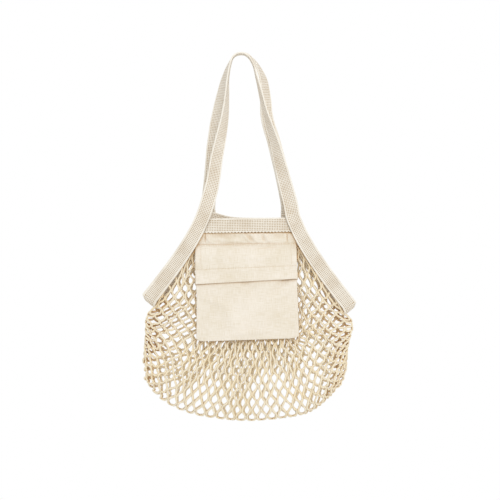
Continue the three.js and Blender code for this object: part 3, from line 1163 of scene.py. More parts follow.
        def leg(side: Side) -> list[tuple[Array, float]]:
            """List a leg's route from the crown down.

            Args:
                side: The side of the bag.

            Returns:
                Places in the flat, each with the webbing's turn there.
            """
            rows = []
            for row in HANDLE_ROWS[face]:
                across = form.foot_reach(side) * getattr(row, side.name.lower())
                step = raised * (1 - smoothstep(row.down, 0.0, self.crown_ends))
                turn = row.turn - (row.slim if side is Side.RIGHT else 0.0)
                rows.append((np.array([across, step - form.handle_drop * row.down]), turn))
            middle, down = form.foot(face, side)
            above = middle - down * form.webbing_width * self.foot_run
            return [*rows, (above, 1.0), (middle, 1.0)]

        crown = (np.array([0.0, form.webbing_thick / 2 + raised]), 0.0)
        rows = [*leg(Side.LEFT)[::-1], crown, *leg(Side.RIGHT)]
        turn = np.array([row[1] for row in rows])
        depth = mix((form.webbing_width + form.clear) / 2, strap, turn)
        route = SoftCurve(place(np.array([row[0] for row in rows]), depth, face))
        shares = np.linspace(0.0, 1.0, self.route_divisions)
        turns = np.interp(shares, np.linspace(0.0, 1.0, len(rows)), turn)
        around = 2 * self.turn_smoothing + 1
        padded = np.pad(turns, self.turn_smoothing, mode="edge")
        turns = np.convolve(padded, np.ones(around) / around, mode="valid")
        middle, turns = self.even_stations(route.at(shares), turns)
        along = unit(np.gradient(middle, axis=0))
        out = unit(np.stack([-along[:, 2], np.zeros(len(along)), along[:, 0]], axis=-1))
        angle = (turns * math.pi / 2)[:, None]
        across = np.array([0.0, face.value, 0.0]) * np.cos(angle) + out * np.sin(angle)
        width = np.full(len(middle), form.webbing_width)
        lag = np.zeros((len(middle), 2, 3))
        strip = Strip(middle, across, width, lag, self.scallops, self.scallop_pitch)
        return self.piece(f"handle_webbing_{face.name.lower()}", strip)

    def side_band(self, side: Side) -> bpy.types.Object:
        """Build one side band: down the front, folded round the corner and up the back.

        Args:
            side: The side of the bag.

        Returns:
            The side band.
        """
        form = self.form
        at = np.linspace(0.0, 1.0, self.run_divisions)
        half = form.webbing_thick / 2
        parts = {}
        for face in Face:
            run = form.band_run(face, side, at)
            depth = form.band_face_depth(face, at) + half
            parts[face] = (place(run.middle, depth, face), place(run.out, 0.0, face), run.width)
        front, back = (form.band_run(face, side, np.array([1.0])) for face in Face)
        radius = form.corner_depth + form.clear + half
        angle = np.linspace(0.0, math.pi, self.fold_divisions)[1:-1]
        share = (angle / math.pi)[:, None]
        flat = mix(front.middle, back.middle, share) + front.down * radius * np.sin(angle)[:, None]
        turn = place(flat, radius * np.cos(angle), Face.FRONT)
        turn_out = place(mix(front.out, back.out, share), 0.0, Face.FRONT)
        middle = np.vstack([parts[Face.FRONT][0], turn, parts[Face.BACK][0][::-1]])
        across = np.vstack([parts[Face.FRONT][1], turn_out, parts[Face.BACK][1][::-1]])
        turn_width = np.full(len(turn), front.width[0])
        width = np.concatenate([parts[Face.FRONT][2], turn_width, parts[Face.BACK][2][::-1]])
        behind = place(-front.down * np.sin(angle)[:, None], 0.0, Face.FRONT)
        lag = np.zeros((len(middle), 2, 3))
        lag[len(at) : len(at) + len(turn)] = behind[:, None] * np.array(self.fold_lag)[:, None]
        middle, across, width, lag = self.even_stations(middle, across, width, lag)
        strip = Strip(middle, across, width, lag, self.scallops, self.scallop_pitch)
        return self.piece(f"side_webbing_{side.name.lower()}", strip)

    def rim_band(self, face: Face) -> bpy.types.Object:
        """Build one rim band, which ends under the straps.

        Args:
            face: The face of the bag.

        Returns:
            The rim band.
        """
        form = self.form
        ends = [form.foot(face, side)[0][0] for side in Side]
        x = np.linspace(*ends, self.rim_divisions)
        depth = form.rim_face(face) + form.webbing_thick / 2
        middle = place(np.stack([x, form.rim_height(face, x)], axis=-1), depth, face)
        (middle,) = self.even_stations(middle)
        across = np.broadcast_to([0.0, 0.0, 1.0], middle.shape)
        width = np.full(len(middle), form.webbing_width)
        lag = np.zeros((len(middle), 2, 3))
        strip = Strip(middle, across, width, lag, self.rim_scallops, self.rim_scallop_pitch)
        return self.piece(f"rim_webbing_{face.name.lower()}", strip)

    def build(self) -> None:
        """Build and dress all the webbing."""
        self.material = self.finish.make()
        for face in Face:
            dress(self.handle(face), "webbing_cotton", f"handle_strap_{face.name.lower()}")
            dress(self.rim_band(face), "webbing_cotton", f"rim_band_{face.name.lower()}")
        for side in Side:
            dress(self.side_band(side), "webbing_cotton", f"side_band_{side.name.lower()}")


@dataclass(frozen=True)
class Bunch:
    """A line that the net is pulled towards, so that its cords lie close together there.

    start and end are X and Z in millimetres, reach is how far from the line cords are pulled,
    and pull is the share of the way that those on the line's flanks move.
    """

    face: Face
    start: tuple[float, float]
    end: tuple[float, float]
    reach: float
    pull: float


DRIFT_SEEDS = {Face.FRONT: 40, Face.BACK: 50}
BAR_SEED = 5
CORD_SEED = 100


@dataclass
class Net:
    """The knotless net: zigzag cords that meet side by side where two diamonds touch.

    Knots stand where column plus row is even. Rows run from the front of the mouth under the
    bottom fold to the back of the mouth. The net is widest at the ends of the slits, where the
    side bands fold. Each row above, and each of the corner rows before the bottom fold, is a
    step narrower on either side, so bars run along the edge there.

    The first group of fields is the net itself, the second is how its edge and its even sheet
    lie, the third is how it settles from there, and the last is how its cords run.
    """

    form: BagForm
    finish: NetFinish
    columns: int = 48
    half_rows: int = 24
    slit_rows: int = 8
    corner_rows: int = 3
    bar: float = 15.6
    cord: float = 3.8
    cord_sides: int = 8
    cord_steps: int = 3
    cord_swell: float = 0.08

    side_length: float = 133.0
    side_inset: float = 5.5
    inset_steps: tuple[float, float] = (0.5, 3.5)
    upright_step: float = 0.38
    way_step: float = 0.01
    back_pace: float = 0.84
    gather_row: int = 13
    gather_step: float = 5.5
    smoothing_rounds: int = 900
    belly_fall: tuple[float, float] = (0.45, 0.9)
    fold_power: int = 6
    edge_power: int = 4

    back_shift: tuple[float, float] = (2.5, -5.0)
    front_drift: float = 2.5
    back_drift: float = 5.0
    drift_size: float = 70.0
    bunches: tuple[Bunch, ...] = (
        Bunch(Face.FRONT, start=(100.0, -445.0), end=(136.0, -510.0), reach=13.0, pull=0.45),
        Bunch(Face.BACK, start=(-86.0, -370.0), end=(-115.0, -430.0), reach=14.0, pull=0.4),
    )
    rounds: int = 300
    uneven: float = 0.06
    shortest: float = 0.55
    push: float = 0.5
    stiffness: float = 0.28
    weight: float = 0.06
    hold: tuple[float, float, float] = (0.006, 0.2, 0.006)

    beside_share: float = 0.42
    joint: float = 2.3
    crossing_joint: float = 0.3
    straight: float = 0.92
    most_bow: float = 2.4
    bow_turn: float = 0.8
    loop_bow: float = 1.9
    tail: float = 6.0
    back_tail: float = 2.0

    def first_column(self, row: Array) -> Array:
        """The net's first column in each row, as far in from the left as its last from the right."""
        cut = row - (self.half_rows - self.corner_rows)
        return np.maximum(np.maximum(self.slit_rows - row, cut), 0)

    def border(self, face: Face, side: Side) -> tuple[Array, Array, Array]:
        """Follow one side of the net, along the band and round the lower corner to the fold.

        Args:
            face: The net's face.
            side: The side of the bag.

        Returns:
            For each row, the place in the flat, the outward direction and the depth.
        """
        form = self.form
        pace = self.back_pace if face is Face.BACK else 1.0
        band = (np.arange(self.slit_rows) / self.slit_rows) ** pace
        flat, out, depth = form.net_side(face, side, band)
        upright = self.half_rows - self.slit_rows - self.corner_rows
        steps = np.concatenate([[0.0], np.full(upright, self.upright_step), np.ones(self.corner_rows)])
        share = (np.cumsum(steps) / steps.sum()) ** pace * self.side_length / form.fold_length
        if side is Side.RIGHT:
            share = 1 - share
        low = form.fold_curve.even(share)
        after, before = (form.fold_curve.even(share + step) for step in (self.way_step, -self.way_step))
        towards = after - before
        low_out = unit(np.stack([towards[:, 1], -towards[:, 0]], axis=-1))
        begun = smoothstep(np.cumsum(steps), *self.inset_steps)
        inset = self.side_inset * begun * np.abs(low_out[:, 0])
        low = low - low_out * inset[:, None]
        low_depth = np.full(len(low), form.net_thick / 2 + self.cord / 2)
        return np.vstack([flat, low]), np.vstack([out, low_out]), np.concatenate([depth, low_depth])

    def sheet(self, face: Face) -> Array:
        """Place one face's knots as an even sheet, before they settle.

        Args:
            face: The face of the net.

        Returns:
            The places by row and column. Those beyond the net's sides only carry the rows on.
        """
        form = self.form
        row, column = np.indices((self.half_rows + 1, self.columns + 1))
        first = self.first_column(row)
        rows = np.arange(self.half_rows + 1)
        lines = {side: self.border(face, side) for side in Side}
        left, right = lines[Side.LEFT], lines[Side.RIGHT]
        across = (column - first) / (self.columns - 2 * first)
        level = np.clip(across, 0.0, 1.0)
        flat = mix(left[0][:, None], right[0][:, None], level[..., None])
        side_share = self.side_length / form.fold_length
        flat[-1] = form.fold_curve.even(mix(side_share, 1 - side_share, level[-1]))
        inner = (row > 0) & (row < self.half_rows) & (across > 0) & (across < 1)
        down = row / self.half_rows
        sag = flat[-1, :, 1] - mix(flat[-1, 0, 1], flat[-1, -1, 1], level[-1])
        flat[..., 1] += np.where(inner, sag * down * np.sin(math.pi * level), 0.0)
        gathered = slice(self.slit_rows, self.columns - self.slit_rows + 1)
        aside = 0.5 if face is Face.BACK else 0.0
        steps = np.arange(self.columns + 1) - self.columns / 2 + aside
        hanging = form.mouth_x + steps * self.gather_step
        for _ in range(self.smoothing_rounds):
            around = (
                np.roll(flat, 1, 0) + np.roll(flat, -1, 0) + np.roll(flat, 1, 1) + np.roll(flat, -1, 1)
            ) / 4
            flat = np.where(inner[..., None], around, flat)
            flat[self.gather_row, gathered, 0] = hanging[gathered]
        for side, at in ((Side.LEFT, first[:, 0]), (Side.RIGHT, self.columns - first[:, 0])):
            beyond = (column - at[:, None]) * side.value
            carried = flat[rows, at][:, None] + lines[side][1][:, None] * (beyond * self.cord)[..., None]
            flat = np.where((beyond > 0)[..., None], carried, flat)
        fall = (form.rim_z - flat[..., 1]) / (form.bag_drop - form.webbing_width / 2)
        belly = mix(form.mouth_depth, form.belly_depth / 2, smoothstep(fall, *self.belly_fall))
        full = belly * np.sqrt(1 - down**self.fold_power) - form.net_thick / 2
        edge = mix(left[2][:, None], right[2][:, None], level) - form.net_thick / 2
        depth = mix(full, edge, np.abs(2 * level - 1) ** self.edge_power)
        return place(flat, np.maximum(depth, 0.0), face)

    def shift(self, places: Array, face: Face) -> Array:
        """Work out how the net departs from its even sheet: in slow drifts and in bunches.

        Args:
            places: The even sheet's places.
            face: The face of the net.

        Returns:
            The way from each place to where the net lies.
        """
        flat = places[..., [0, 2]]
        seed = DRIFT_SEEDS[face]
        amount = self.front_drift if face is Face.FRONT else self.back_drift
        drifts = [soft_noise(flat / self.drift_size, seed + axis) * amount for axis in range(2)]
        total = np.stack(drifts, axis=-1)
        if face is Face.BACK:
            total += np.array(self.back_shift)
        for bunch in self.bunches:
            if bunch.face is not face:
                continue
            share, gap = line_distance(flat, np.array(bunch.start), np.array(bunch.end))
            near = np.exp(-((np.linalg.norm(gap, axis=-1) / bunch.reach) ** 2))
            total += gap * (bunch.pull * near * fade_at_ends(share))[..., None]
        return place(total, 0.0, face)

    def hang(self) -> Array:
        """Let the knots settle: bars can't stretch, and the net keeps near its even place.

        Returns:
            The knots by row and column, from the front of the mouth to the back of it.
        """
        rng = np.random.default_rng(BAR_SEED)
        sheets = [self.sheet(face) for face in Face]
        home = np.concatenate([sheets[0], sheets[1][-2::-1]])
        moved = [sheet + self.shift(sheet, face) for sheet, face in zip(sheets, Face)]
        loose = np.concatenate([moved[0], moved[1][-2::-1]])
        row, column = np.indices(home.shape[:2])
        level = np.minimum(row, 2 * self.half_rows - row)
        first = self.first_column(level)
        beside = np.minimum(column, self.columns - column) - first
        real = ((row + column) % 2 == 0) & (beside >= 0)
        free = ((beside > 0) & (level > 0) & (level < self.half_rows))[..., None]
        home = np.where(free, loose, home)
        knots = home.copy()
        bars = []
        for step in (-1, 1):
            low, high = (0, self.columns) if step == 1 else (1, self.columns + 1)
            here = (slice(0, -1), slice(low, high))
            there = (slice(1, None), slice(low + step, high + step))
            joined = (real[here] & real[there])[..., None]
            rest = self.bar * (1 + self.uneven * rng.normal(size=joined.shape))
            bars.append((here, there, rest, joined))
        for _ in range(self.rounds):
            move = np.zeros_like(knots)
            for here, there, rest, joined in bars:
                bar = knots[there] - knots[here]
                length = np.maximum(np.linalg.norm(bar, axis=-1, keepdims=True), TINY)
                crushed = np.maximum(self.shortest * rest - length, 0.0)
                pull = np.maximum(length - rest, 0.0) - self.push * crushed
                way = bar / length * pull * self.stiffness * joined
                move[here] += way
                move[there] -= way
            move[..., 2] -= self.weight
            move += (home - knots) * self.hold
            knots += move * free
        return knots

    def cord_line(self, knots: Array, ways: tuple[Array, Array], first: int, seed: int) -> Array:
        """Draw the middle line of one cord, which goes to and fro between two columns.

        Args:
            knots: The knots by row and column, with the blanks filled.
            ways: Directions across and down the net at each place.
            first: The left one of the two columns.
            seed: Picks the slack bars' bows.

        Returns:
            The line's points.
        """
        rng = np.random.default_rng(seed)
        edge = min(first, self.columns - 1 - first)
        top = max(self.slit_rows - edge - 1, 0)
        low = self.half_rows - max(self.corner_rows - edge - 1, 0)
        row = np.arange(top, low + 1)
        row = np.unique(np.concatenate([row, 2 * self.half_rows - row]))
        column = first + (first + row) % 2
        across, down = (way[row, column] for way in ways)
        inward = np.where(column == first, 1.0, -1.0)[:, None]
        beside = knots[row, column] + across * inward * self.cord * self.beside_share
        # Where corner rows end, the cord crosses the side from the front straight to the back.
        crosses = np.diff(row) > 1
        turns = np.append(crosses, False) | np.insert(crosses, 0, False)
        joint = (self.joint * np.where(turns, self.crossing_joint, 1.0))[:, None]
        starts, ends = beside - down * joint, beside + down * joint
        span = starts[1:] - ends[:-1]
        length = np.linalg.norm(span, axis=-1, keepdims=True)
        spare = np.maximum((self.bar - 2 * self.joint) * self.straight - length, 0.0)
        # A shallow bow takes up 8/3 of its height squared over its span.
        bow = np.minimum(np.sqrt(3 / 8 * length * spare), self.most_bow)
        flat_across = unit(np.stack([span[:, 2], np.zeros(len(span)), -span[:, 0]], axis=-1))
        flat_across *= np.where(flat_across[:, 2:] > 0, -1.0, 1.0)
        turn = rng.normal(0.0, self.bow_turn, size=(len(span), 1))
        loop = ((row[:-1] == self.half_rows) | (row[1:] == self.half_rows))[:, None]
        turn = np.where(loop, 0.0, turn)
        bow = np.where(loop, self.loop_bow, np.where(crosses[:, None], 0.0, bow))
        out = np.where(row[:-1] < self.half_rows, -1.0, 1.0)[:, None]
        lean = np.array([0.0, 1.0, 0.0]) * out
        sideways = flat_across * np.cos(turn) + lean * np.sin(turn)
        bowed = (ends[:-1] + starts[1:]) / 2 + sideways * bow
        points = np.stack([starts[:-1], ends[:-1], bowed], axis=1).reshape(-1, 3)
        points = np.vstack([points, starts[-1:], ends[-1:]])
        if edge >= self.slit_rows:
            tails = np.array([[0.0, 0.0, self.tail]] * 2)
        else:
            side = -1.0 if first < self.columns / 2 else 1.0
            tails = across[[0, -1]] * side * np.array([[self.tail], [self.back_tail]])
        return np.vstack([points[0] + tails[0], points, points[-1] + tails[1]])

    def build(self) -> None:
        """Build and dress the net, in two halves."""
        material = self.finish.make()
        cord = Cord(self.cord, self.cord_sides, self.cord_steps, self.cord_swell)
        knots = self.hang()
        row, column = np.indices(knots.shape[:2])
        padded = np.pad(knots, ((0, 0), (1, 1), (0, 0)), mode="edge")
        blank = ((row + column) % 2 == 1)[..., None]
        knots = np.where(blank, (padded[:, :-2] + padded[:, 2:]) / 2, knots)
        ways = (unit(np.gradient(knots, axis=1)), unit(np.gradient(knots, axis=0)))
        for side in Side:
            half = self.columns // 2
            firsts = range(half) if side is Side.LEFT else range(half, self.columns)
            draft = MeshDraft()
            for first in firsts:
                line = self.cord_line(knots, ways, first, seed=CORD_SEED + first)
                cord.lay(draft, line, seed=first)
            piece = draft.build(f"net_cords_{side.name.lower()}", material)
            dress(piece, "net_cotton", "net_body")


@dataclass(frozen=True)
class Crease:
    """A soft fold in a panel, between two places given as shares across and down it.

    height is in millimetres, negative for a dip, and spread is the fold's half width.
    """

    start: tuple[float, float]
    end: tuple[float, float]
    height: float
    spread: float


@dataclass(frozen=True)
class PouchEdge:
    """An edge across the pouch: its drop as a share of the pouch's drop, and the rise from its
    middle to its right end as a share of the pouch's width."""

    drop: float
    tilt: float


@dataclass(frozen=True)
class SeamRow:
    """A row of stitches between two places, given as shares across and down a panel."""

    start: tuple[float, float]
    end: tuple[float, float]


@dataclass(frozen=True)
class PanelCut:
    """How a panel is cut and sewn: its edges, its corners' rounding, how far it goes past the
    pouch's sides, how much narrower it starts, and its rows of stitches."""

    name: str
    upper: PouchEdge
    lower: PouchEdge
    rounding: float
    widen: float = 0.0
    taper: float = 0.0
    seams: tuple[SeamRow, ...] = ()


@dataclass
class Pouch:
    """The calico pouch: a backing panel, a pocket panel and a folded flap, with their seams.

    The first group of fields is the pouch's sizes, the second is how its sides and edges run, the
    third is the fullness that the backing is gathered to under the rim, the fourth is the flap,
    and the fifth is the sewing. The creases come last.
    """

    form: BagForm
    finish: CalicoFinish
    thread: ThreadFinish
    width: float = 178.0
    drop: float = 199.0
    room: float = 2.0
    thick: float = 0.7
    grid: float = 1.0
    top: PouchEdge = PouchEdge(drop=0.033, tilt=0.0)
    seam: PouchEdge = PouchEdge(drop=0.163, tilt=0.011)
    mouth: PouchEdge = PouchEdge(drop=0.322, tilt=0.0)
    flap_edge: PouchEdge = PouchEdge(drop=0.492, tilt=0.027)
    bottom: PouchEdge = PouchEdge(drop=1.0, tilt=0.017)

    corner_round: float = 4.5
    corner_power: int = 20
    skew: float = 3.6
    narrow: tuple[float, float] = (1.8, 0.4)
    side_wave: float = 0.5
    wave_turns: tuple[float, float] = (7.0, 2.0)
    edge_roll: float = 0.45
    edge_roll_reach: float = 2.0
    backing_off: float = 0.2
    sewn_power: float = 0.3

    fullness: float = 2.6
    rim_cover: float = 5.0
    full_after: float = 4.0
    full_ends: tuple[float, float] = (-7.0, 6.0)
    full_most: tuple[float, float] = (4.0, 0.9)
    full_tightens: float = 6.0

    tuck: float = 6.0
    flap_widen: float = 1.2
    flap_taper: float = 1.0
    flap_stand: float = 0.5
    flap_corner_stand: float = 1.1
    flap_corner_power: int = 3
    flap_stands_from: float = 0.72

    thread_thick: float = 0.5
    thread_sides: int = 6
    thread_steps: int = 2
    stitch: float = 2.2
    stitch_pitch: float = 3.0
    stitch_start: float = 0.5
    stitch_dips: float = 0.4
    stitch_stands: float = 0.15
    top_seam: float = 0.03
    side_seam: float = 0.055
    side_seam_from: float = 0.05
    hem: float = 0.63
    material: bpy.types.Material = field(init=False)
    stitches: MeshDraft = field(default_factory=MeshDraft, init=False)

    backing_creases: tuple[Crease, ...] = (
        Crease(start=(0.096, 0.02), end=(0.096, 0.15), height=-1.5, spread=1.1),
        Crease(start=(0.91, 0.02), end=(0.91, 0.15), height=-1.5, spread=1.1),
        Crease(start=(0.13, 0.045), end=(0.42, 0.055), height=-2.6, spread=6.0),
        Crease(start=(0.19, 0.125), end=(0.25, 0.105), height=-1.8, spread=3.2),
        Crease(start=(0.24, 0.09), end=(0.45, 0.12), height=1.4, spread=4.0),
        Crease(start=(0.459, 0.034), end=(0.549, 0.131), height=1.8, spread=2.0),
        Crease(start=(0.5, 0.034), end=(0.585, 0.131), height=-1.4, spread=2.2),
        Crease(start=(0.545, 0.034), end=(0.62, 0.131), height=1.4, spread=2.2),
        Crease(start=(0.655, 0.04), end=(0.692, 0.13), height=-1.7, spread=2.2),
        Crease(start=(0.69, 0.04), end=(0.735, 0.13), height=1.5, spread=2.0),
        Crease(start=(0.76, 0.055), end=(0.89, 0.065), height=-2.6, spread=7.0),
        Crease(start=(0.1, 0.058), end=(0.158, 0.131), height=1.5, spread=1.8),
    )
    pocket_creases: tuple[Crease, ...] = (
        Crease(start=(0.0, 0.42), end=(0.3, 0.56), height=2.0, spread=5.0),
        Crease(start=(1.0, 0.1), end=(0.72, 0.42), height=-3.0, spread=7.0),
        Crease(start=(0.98, 0.3), end=(0.8, 0.5), height=2.4, spread=5.0),
        Crease(start=(0.75, 0.5), end=(0.6, 0.98), height=2.2, spread=10.0),
        Crease(start=(0.25, 0.5), end=(0.45, 0.95), height=1.8, spread=10.0),
        Crease(start=(0.3, 0.93), end=(0.75, 0.88), height=1.2, spread=4.0),
        Crease(start=(0.45, 0.2), end=(0.6, 0.45), height=-1.6, spread=11.0),
    )
    flap_creases: tuple[Crease, ...] = (
        Crease(start=(0.0, 0.02), end=(1.0, 0.02), height=0.45, spread=1.2),
        Crease(start=(0.0, 0.63), end=(1.0, 0.63), height=-0.3, spread=0.9),
        Crease(start=(0.0, 0.6), end=(1.0, 0.6), height=0.3, spread=1.2),
        Crease(start=(0.0, 0.69), end=(1.0, 0.69), height=0.35, spread=2.2),
        Crease(start=(0.055, 0.0), end=(0.055, 0.63), height=-0.2, spread=1.0),
        Crease(start=(0.945, 0.0), end=(0.945, 0.63), height=-0.2, spread=1.0),
        Crease(start=(0.56, 0.12), end=(0.84, 0.08), height=-1.1, spread=2.5),
        Crease(start=(0.5, 0.4), end=(0.8, 0.34), height=0.8, spread=4.0),
        Crease(start=(0.2, 0.3), end=(0.4, 0.5), height=0.7, spread=6.0),
    )

    @property
    def thread_cord(self) -> Cord:
        """The sewing thread as a round cord."""
        return Cord(self.thread_thick, self.thread_sides, self.thread_steps)

    def edge_z(self, edge: PouchEdge, across: Array) -> Array:
        """Height of an edge at shares across the pouch."""
        return self.form.rim_z - self.drop * edge.drop + self.width * edge.tilt * (2 * across - 1)

    def slack(self, across: Array, z: Array) -> Array:
        """Find how far the pocket stands out, which is nothing along its three seams.

        Args:
            across: Shares across the pouch.
            z: Heights.

        Returns:
            How far each place stands out.
        """
        mouth, floor = (self.edge_z(edge, np.array(0.5)) for edge in (self.mouth, self.bottom))
        share = np.clip((z - mouth) / (floor - mouth), 0.0, 1.0)
        return self.room * np.sin(math.pi * across) * np.cos(share * math.pi / 2)

    def folds(self, across: Array, down: Array, height: float, creases: tuple[Crease, ...]) -> Array:
        """Add up a panel's creases.

        Args:
            across: Shares across the panel.
            down: Shares down it.
            height: The panel's height in millimetres.
            creases: The creases.

        Returns:
            How far each place stands out.
        """
        places = np.stack([across * self.width, down * height], axis=-1)
        total = np.zeros(across.shape)
        for crease in creases:
            start, end = (np.array(spot) * [self.width, height] for spot in (crease.start, crease.end))
            share, gap = line_distance(places, start, end)
            near = np.exp(-((np.linalg.norm(gap, axis=-1) / crease.spread) ** 2))
            total += crease.height * near * fade_at_ends(share)
        return total

    def panel(self, cut: PanelCut, lift: Callable[[Array, Array, Array], Array]) -> bpy.types.Object:
        """Build a panel between two edges that run across the pouch, and sew its stitches.

        Args:
            cut: The panel's name, edges and seams.
            lift: Gives the inner face's depth from the shares across and down, and the height.

        Returns:
            The panel.
        """
        height = self.drop * (cut.lower.drop - cut.upper.drop)

        def surface(across: Array, down: Array) -> Array:
            """Find places in the middle of the cloth.

            Args:
                across: Shares across the panel.
                down: Shares down it.

            Returns:
                The places.
            """
            corner = cut.rounding * np.abs(2 * across - 1) ** self.corner_power
            z = mix(self.edge_z(cut.upper, across), self.edge_z(cut.lower, across) + corner, down)
            low = (self.form.rim_z - z) / self.drop
            half = self.width / 2 + cut.widen - mix(*self.narrow, low) - cut.taper * (1 - down)
            wave_down, wave_across = self.wave_turns
            half = half + self.side_wave * np.sin(low * wave_down + across * wave_across)
            x = self.form.feet_x - self.skew * (1 - low) + (2 * across - 1) * half
            edge = np.minimum(np.minimum(across, 1 - across) * self.width, (1 - down) * height)
            roll = self.edge_roll * np.exp(-((edge / self.edge_roll_reach) ** 2))
            depth = lift(across, down, z) - roll + self.thick / 2
            return place(np.stack([x, z], axis=-1), depth, Face.FRONT)

        columns, rows = int(self.width / self.grid), int(height / self.grid)
        across, down = np.meshgrid(np.linspace(0, 1, columns + 1), np.linspace(0, 1, rows + 1))
        points = surface(across, down).reshape(-1, 3)
        draft = MeshDraft()
        draft.add(points, grid_faces(rows + 1, columns + 1), points[:, [0, 2]])
        for seam in cut.seams:
            self.sew(surface, seam, height)
        piece = draft.build(cut.name, self.material)
        thickness = piece.modifiers.new("cloth thickness", "SOLIDIFY")
        thickness.thickness = self.thick * MM
        thickness.offset = 0.0
        return piece

    def sew(self, surface: Callable[[Array, Array], Array], seam: SeamRow, height: float) -> None:
        """Sew a row of stitches, each a short arch of thread that dips into the cloth.

        Args:
            surface: Gives the places in the cloth at shares across and down.
            seam: The row.
            height: The panel's height in millimetres.
        """
        start, end = np.array(seam.start), np.array(seam.end)
        length = float(np.linalg.norm((end - start) * [self.width, height]))
        arch = np.array([-self.stitch_dips, self.stitch_stands, self.stitch_stands, -self.stitch_dips])
        rise = (self.thick / 2 + arch)[:, None] * [0.0, Face.FRONT.value, 0.0]
        for begin in np.arange(self.stitch_start, length - self.stitch, self.stitch_pitch):
            shares = (begin + self.stitch * np.linspace(0.0, 1.0, len(arch))) / length
            spots = start + (end - start) * shares[:, None]
            self.thread_cord.lay(self.stitches, surface(spots[:, 0], spots[:, 1]) + rise)

    def backing(self) -> bpy.types.Object:
        """Build the backing panel, gathered in creases between the rim and the flap's seam.

        Returns:
            The backing.
        """
        height = self.drop * (self.bottom.drop - self.top.drop)
        seam = self.drop * (self.seam.drop - self.top.drop)

        def lift(across: Array, down: Array, z: Array) -> Array:
            """Find the depth of the backing.

            Args:
                across: Shares across the panel.
                down: Shares down it.
                z: Heights.

            Returns:
                The depths.
            """
            folds = self.folds(across, down, height, self.backing_creases)
            below = down * height
            begins = smoothstep(below, self.rim_cover, self.rim_cover + self.full_after)
            before, after = self.full_ends
            ends = 1 - smoothstep(below, seam + before, seam + after)
            most = mix(*self.full_most, smoothstep(below, seam - self.full_tightens, seam))
            full = np.minimum(np.maximum(self.fullness + folds, 0.0) * begins * ends, most)
            return self.form.pouch_depth(z) + self.backing_off + full

        return self.panel(PanelCut("pouch_backing", self.top, self.bottom, self.corner_round), lift)

    def pocket(self) -> bpy.types.Object:
        """Build the pocket panel, sewn to the backing along its sides and bottom.

        Returns:
            The pocket.
        """
        height = self.drop * (self.bottom.drop - self.mouth.drop)
        layer = self.form.panel_thick + self.form.clear

        def lift(across: Array, down: Array, z: Array) -> Array:
            """Find the depth of the pocket.

            Args:
                across: Shares across the panel.
                down: Shares down it.
                z: Heights.

            Returns:
                The depths.
            """
            sewn = np.sin(math.pi * across) ** self.sewn_power
            folds = self.folds(across, down, height, self.pocket_creases) * sewn
            return self.form.pouch_depth(z) + layer + self.slack(across, z) + folds

        return self.panel(PanelCut("pouch_pocket", self.mouth, self.bottom, self.corner_round), lift)

    def flap(self) -> bpy.types.Object:
        """Build the flap, flat on the backing at its seam and then out over the pocket's mouth.

        Returns:
            The flap.
        """
        height = self.drop * (self.flap_edge.drop - self.seam.drop)
        layer = self.form.panel_thick + self.form.clear
        begin = float(self.edge_z(self.seam, np.array(0.0)))
        over = float(self.edge_z(self.mouth, np.array(0.5))) + self.tuck

        def lift(across: Array, down: Array, z: Array) -> Array:
            """Find the depth of the flap.

            Args:
                across: Shares across the panel.
                down: Shares down it.
                z: Heights.

            Returns:
                The depths.
            """
            cover = smoothstep(begin - z, 0.0, begin - over)
            corners = np.abs(2 * across - 1) ** self.flap_corner_power
            stand = self.flap_stand + self.flap_corner_stand * corners
            stand = stand * smoothstep(down, self.flap_stands_from, 1.0)
            folds = self.folds(across, down, height, self.flap_creases)
            over_pocket = cover * (layer + self.slack(across, np.minimum(z, over)))
            return self.form.pouch_depth(z) + layer + over_pocket + stand + folds

        rows = tuple(SeamRow((0.0, at), (1.0, at)) for at in (self.top_seam, self.hem))
        sides = tuple(
            SeamRow((at, self.side_seam_from), (at, self.hem))
            for at in (self.side_seam, 1 - self.side_seam)
        )
        cut = PanelCut(
            "pouch_flap_cloth",
            self.seam,
            self.flap_edge,
            rounding=0.0,
            widen=self.flap_widen,
            taper=self.flap_taper,
            seams=rows + sides,
        )
        return self.panel(cut, lift)

    def build(self) -> None:
        """Build and dress the pouch."""
        self.material = self.finish.make()
        panels = (
            (self.backing(), "pouch_back", self.bottom.drop - self.top.drop, ["rim_webbing_front"]),
            (self.pocket(), "pouch_front", self.bottom.drop - self.mouth.drop, ["pouch_backing"]),
            (self.flap(), "pouch_flap", self.flap_edge.drop - self.seam.drop, ["pouch_backing"]),
        )
        for piece, node, share, carried in panels:
            dress(piece, "calico", node)
        dress(self.stitches.build("pouch_stitches", self.thread.make()), "calico")


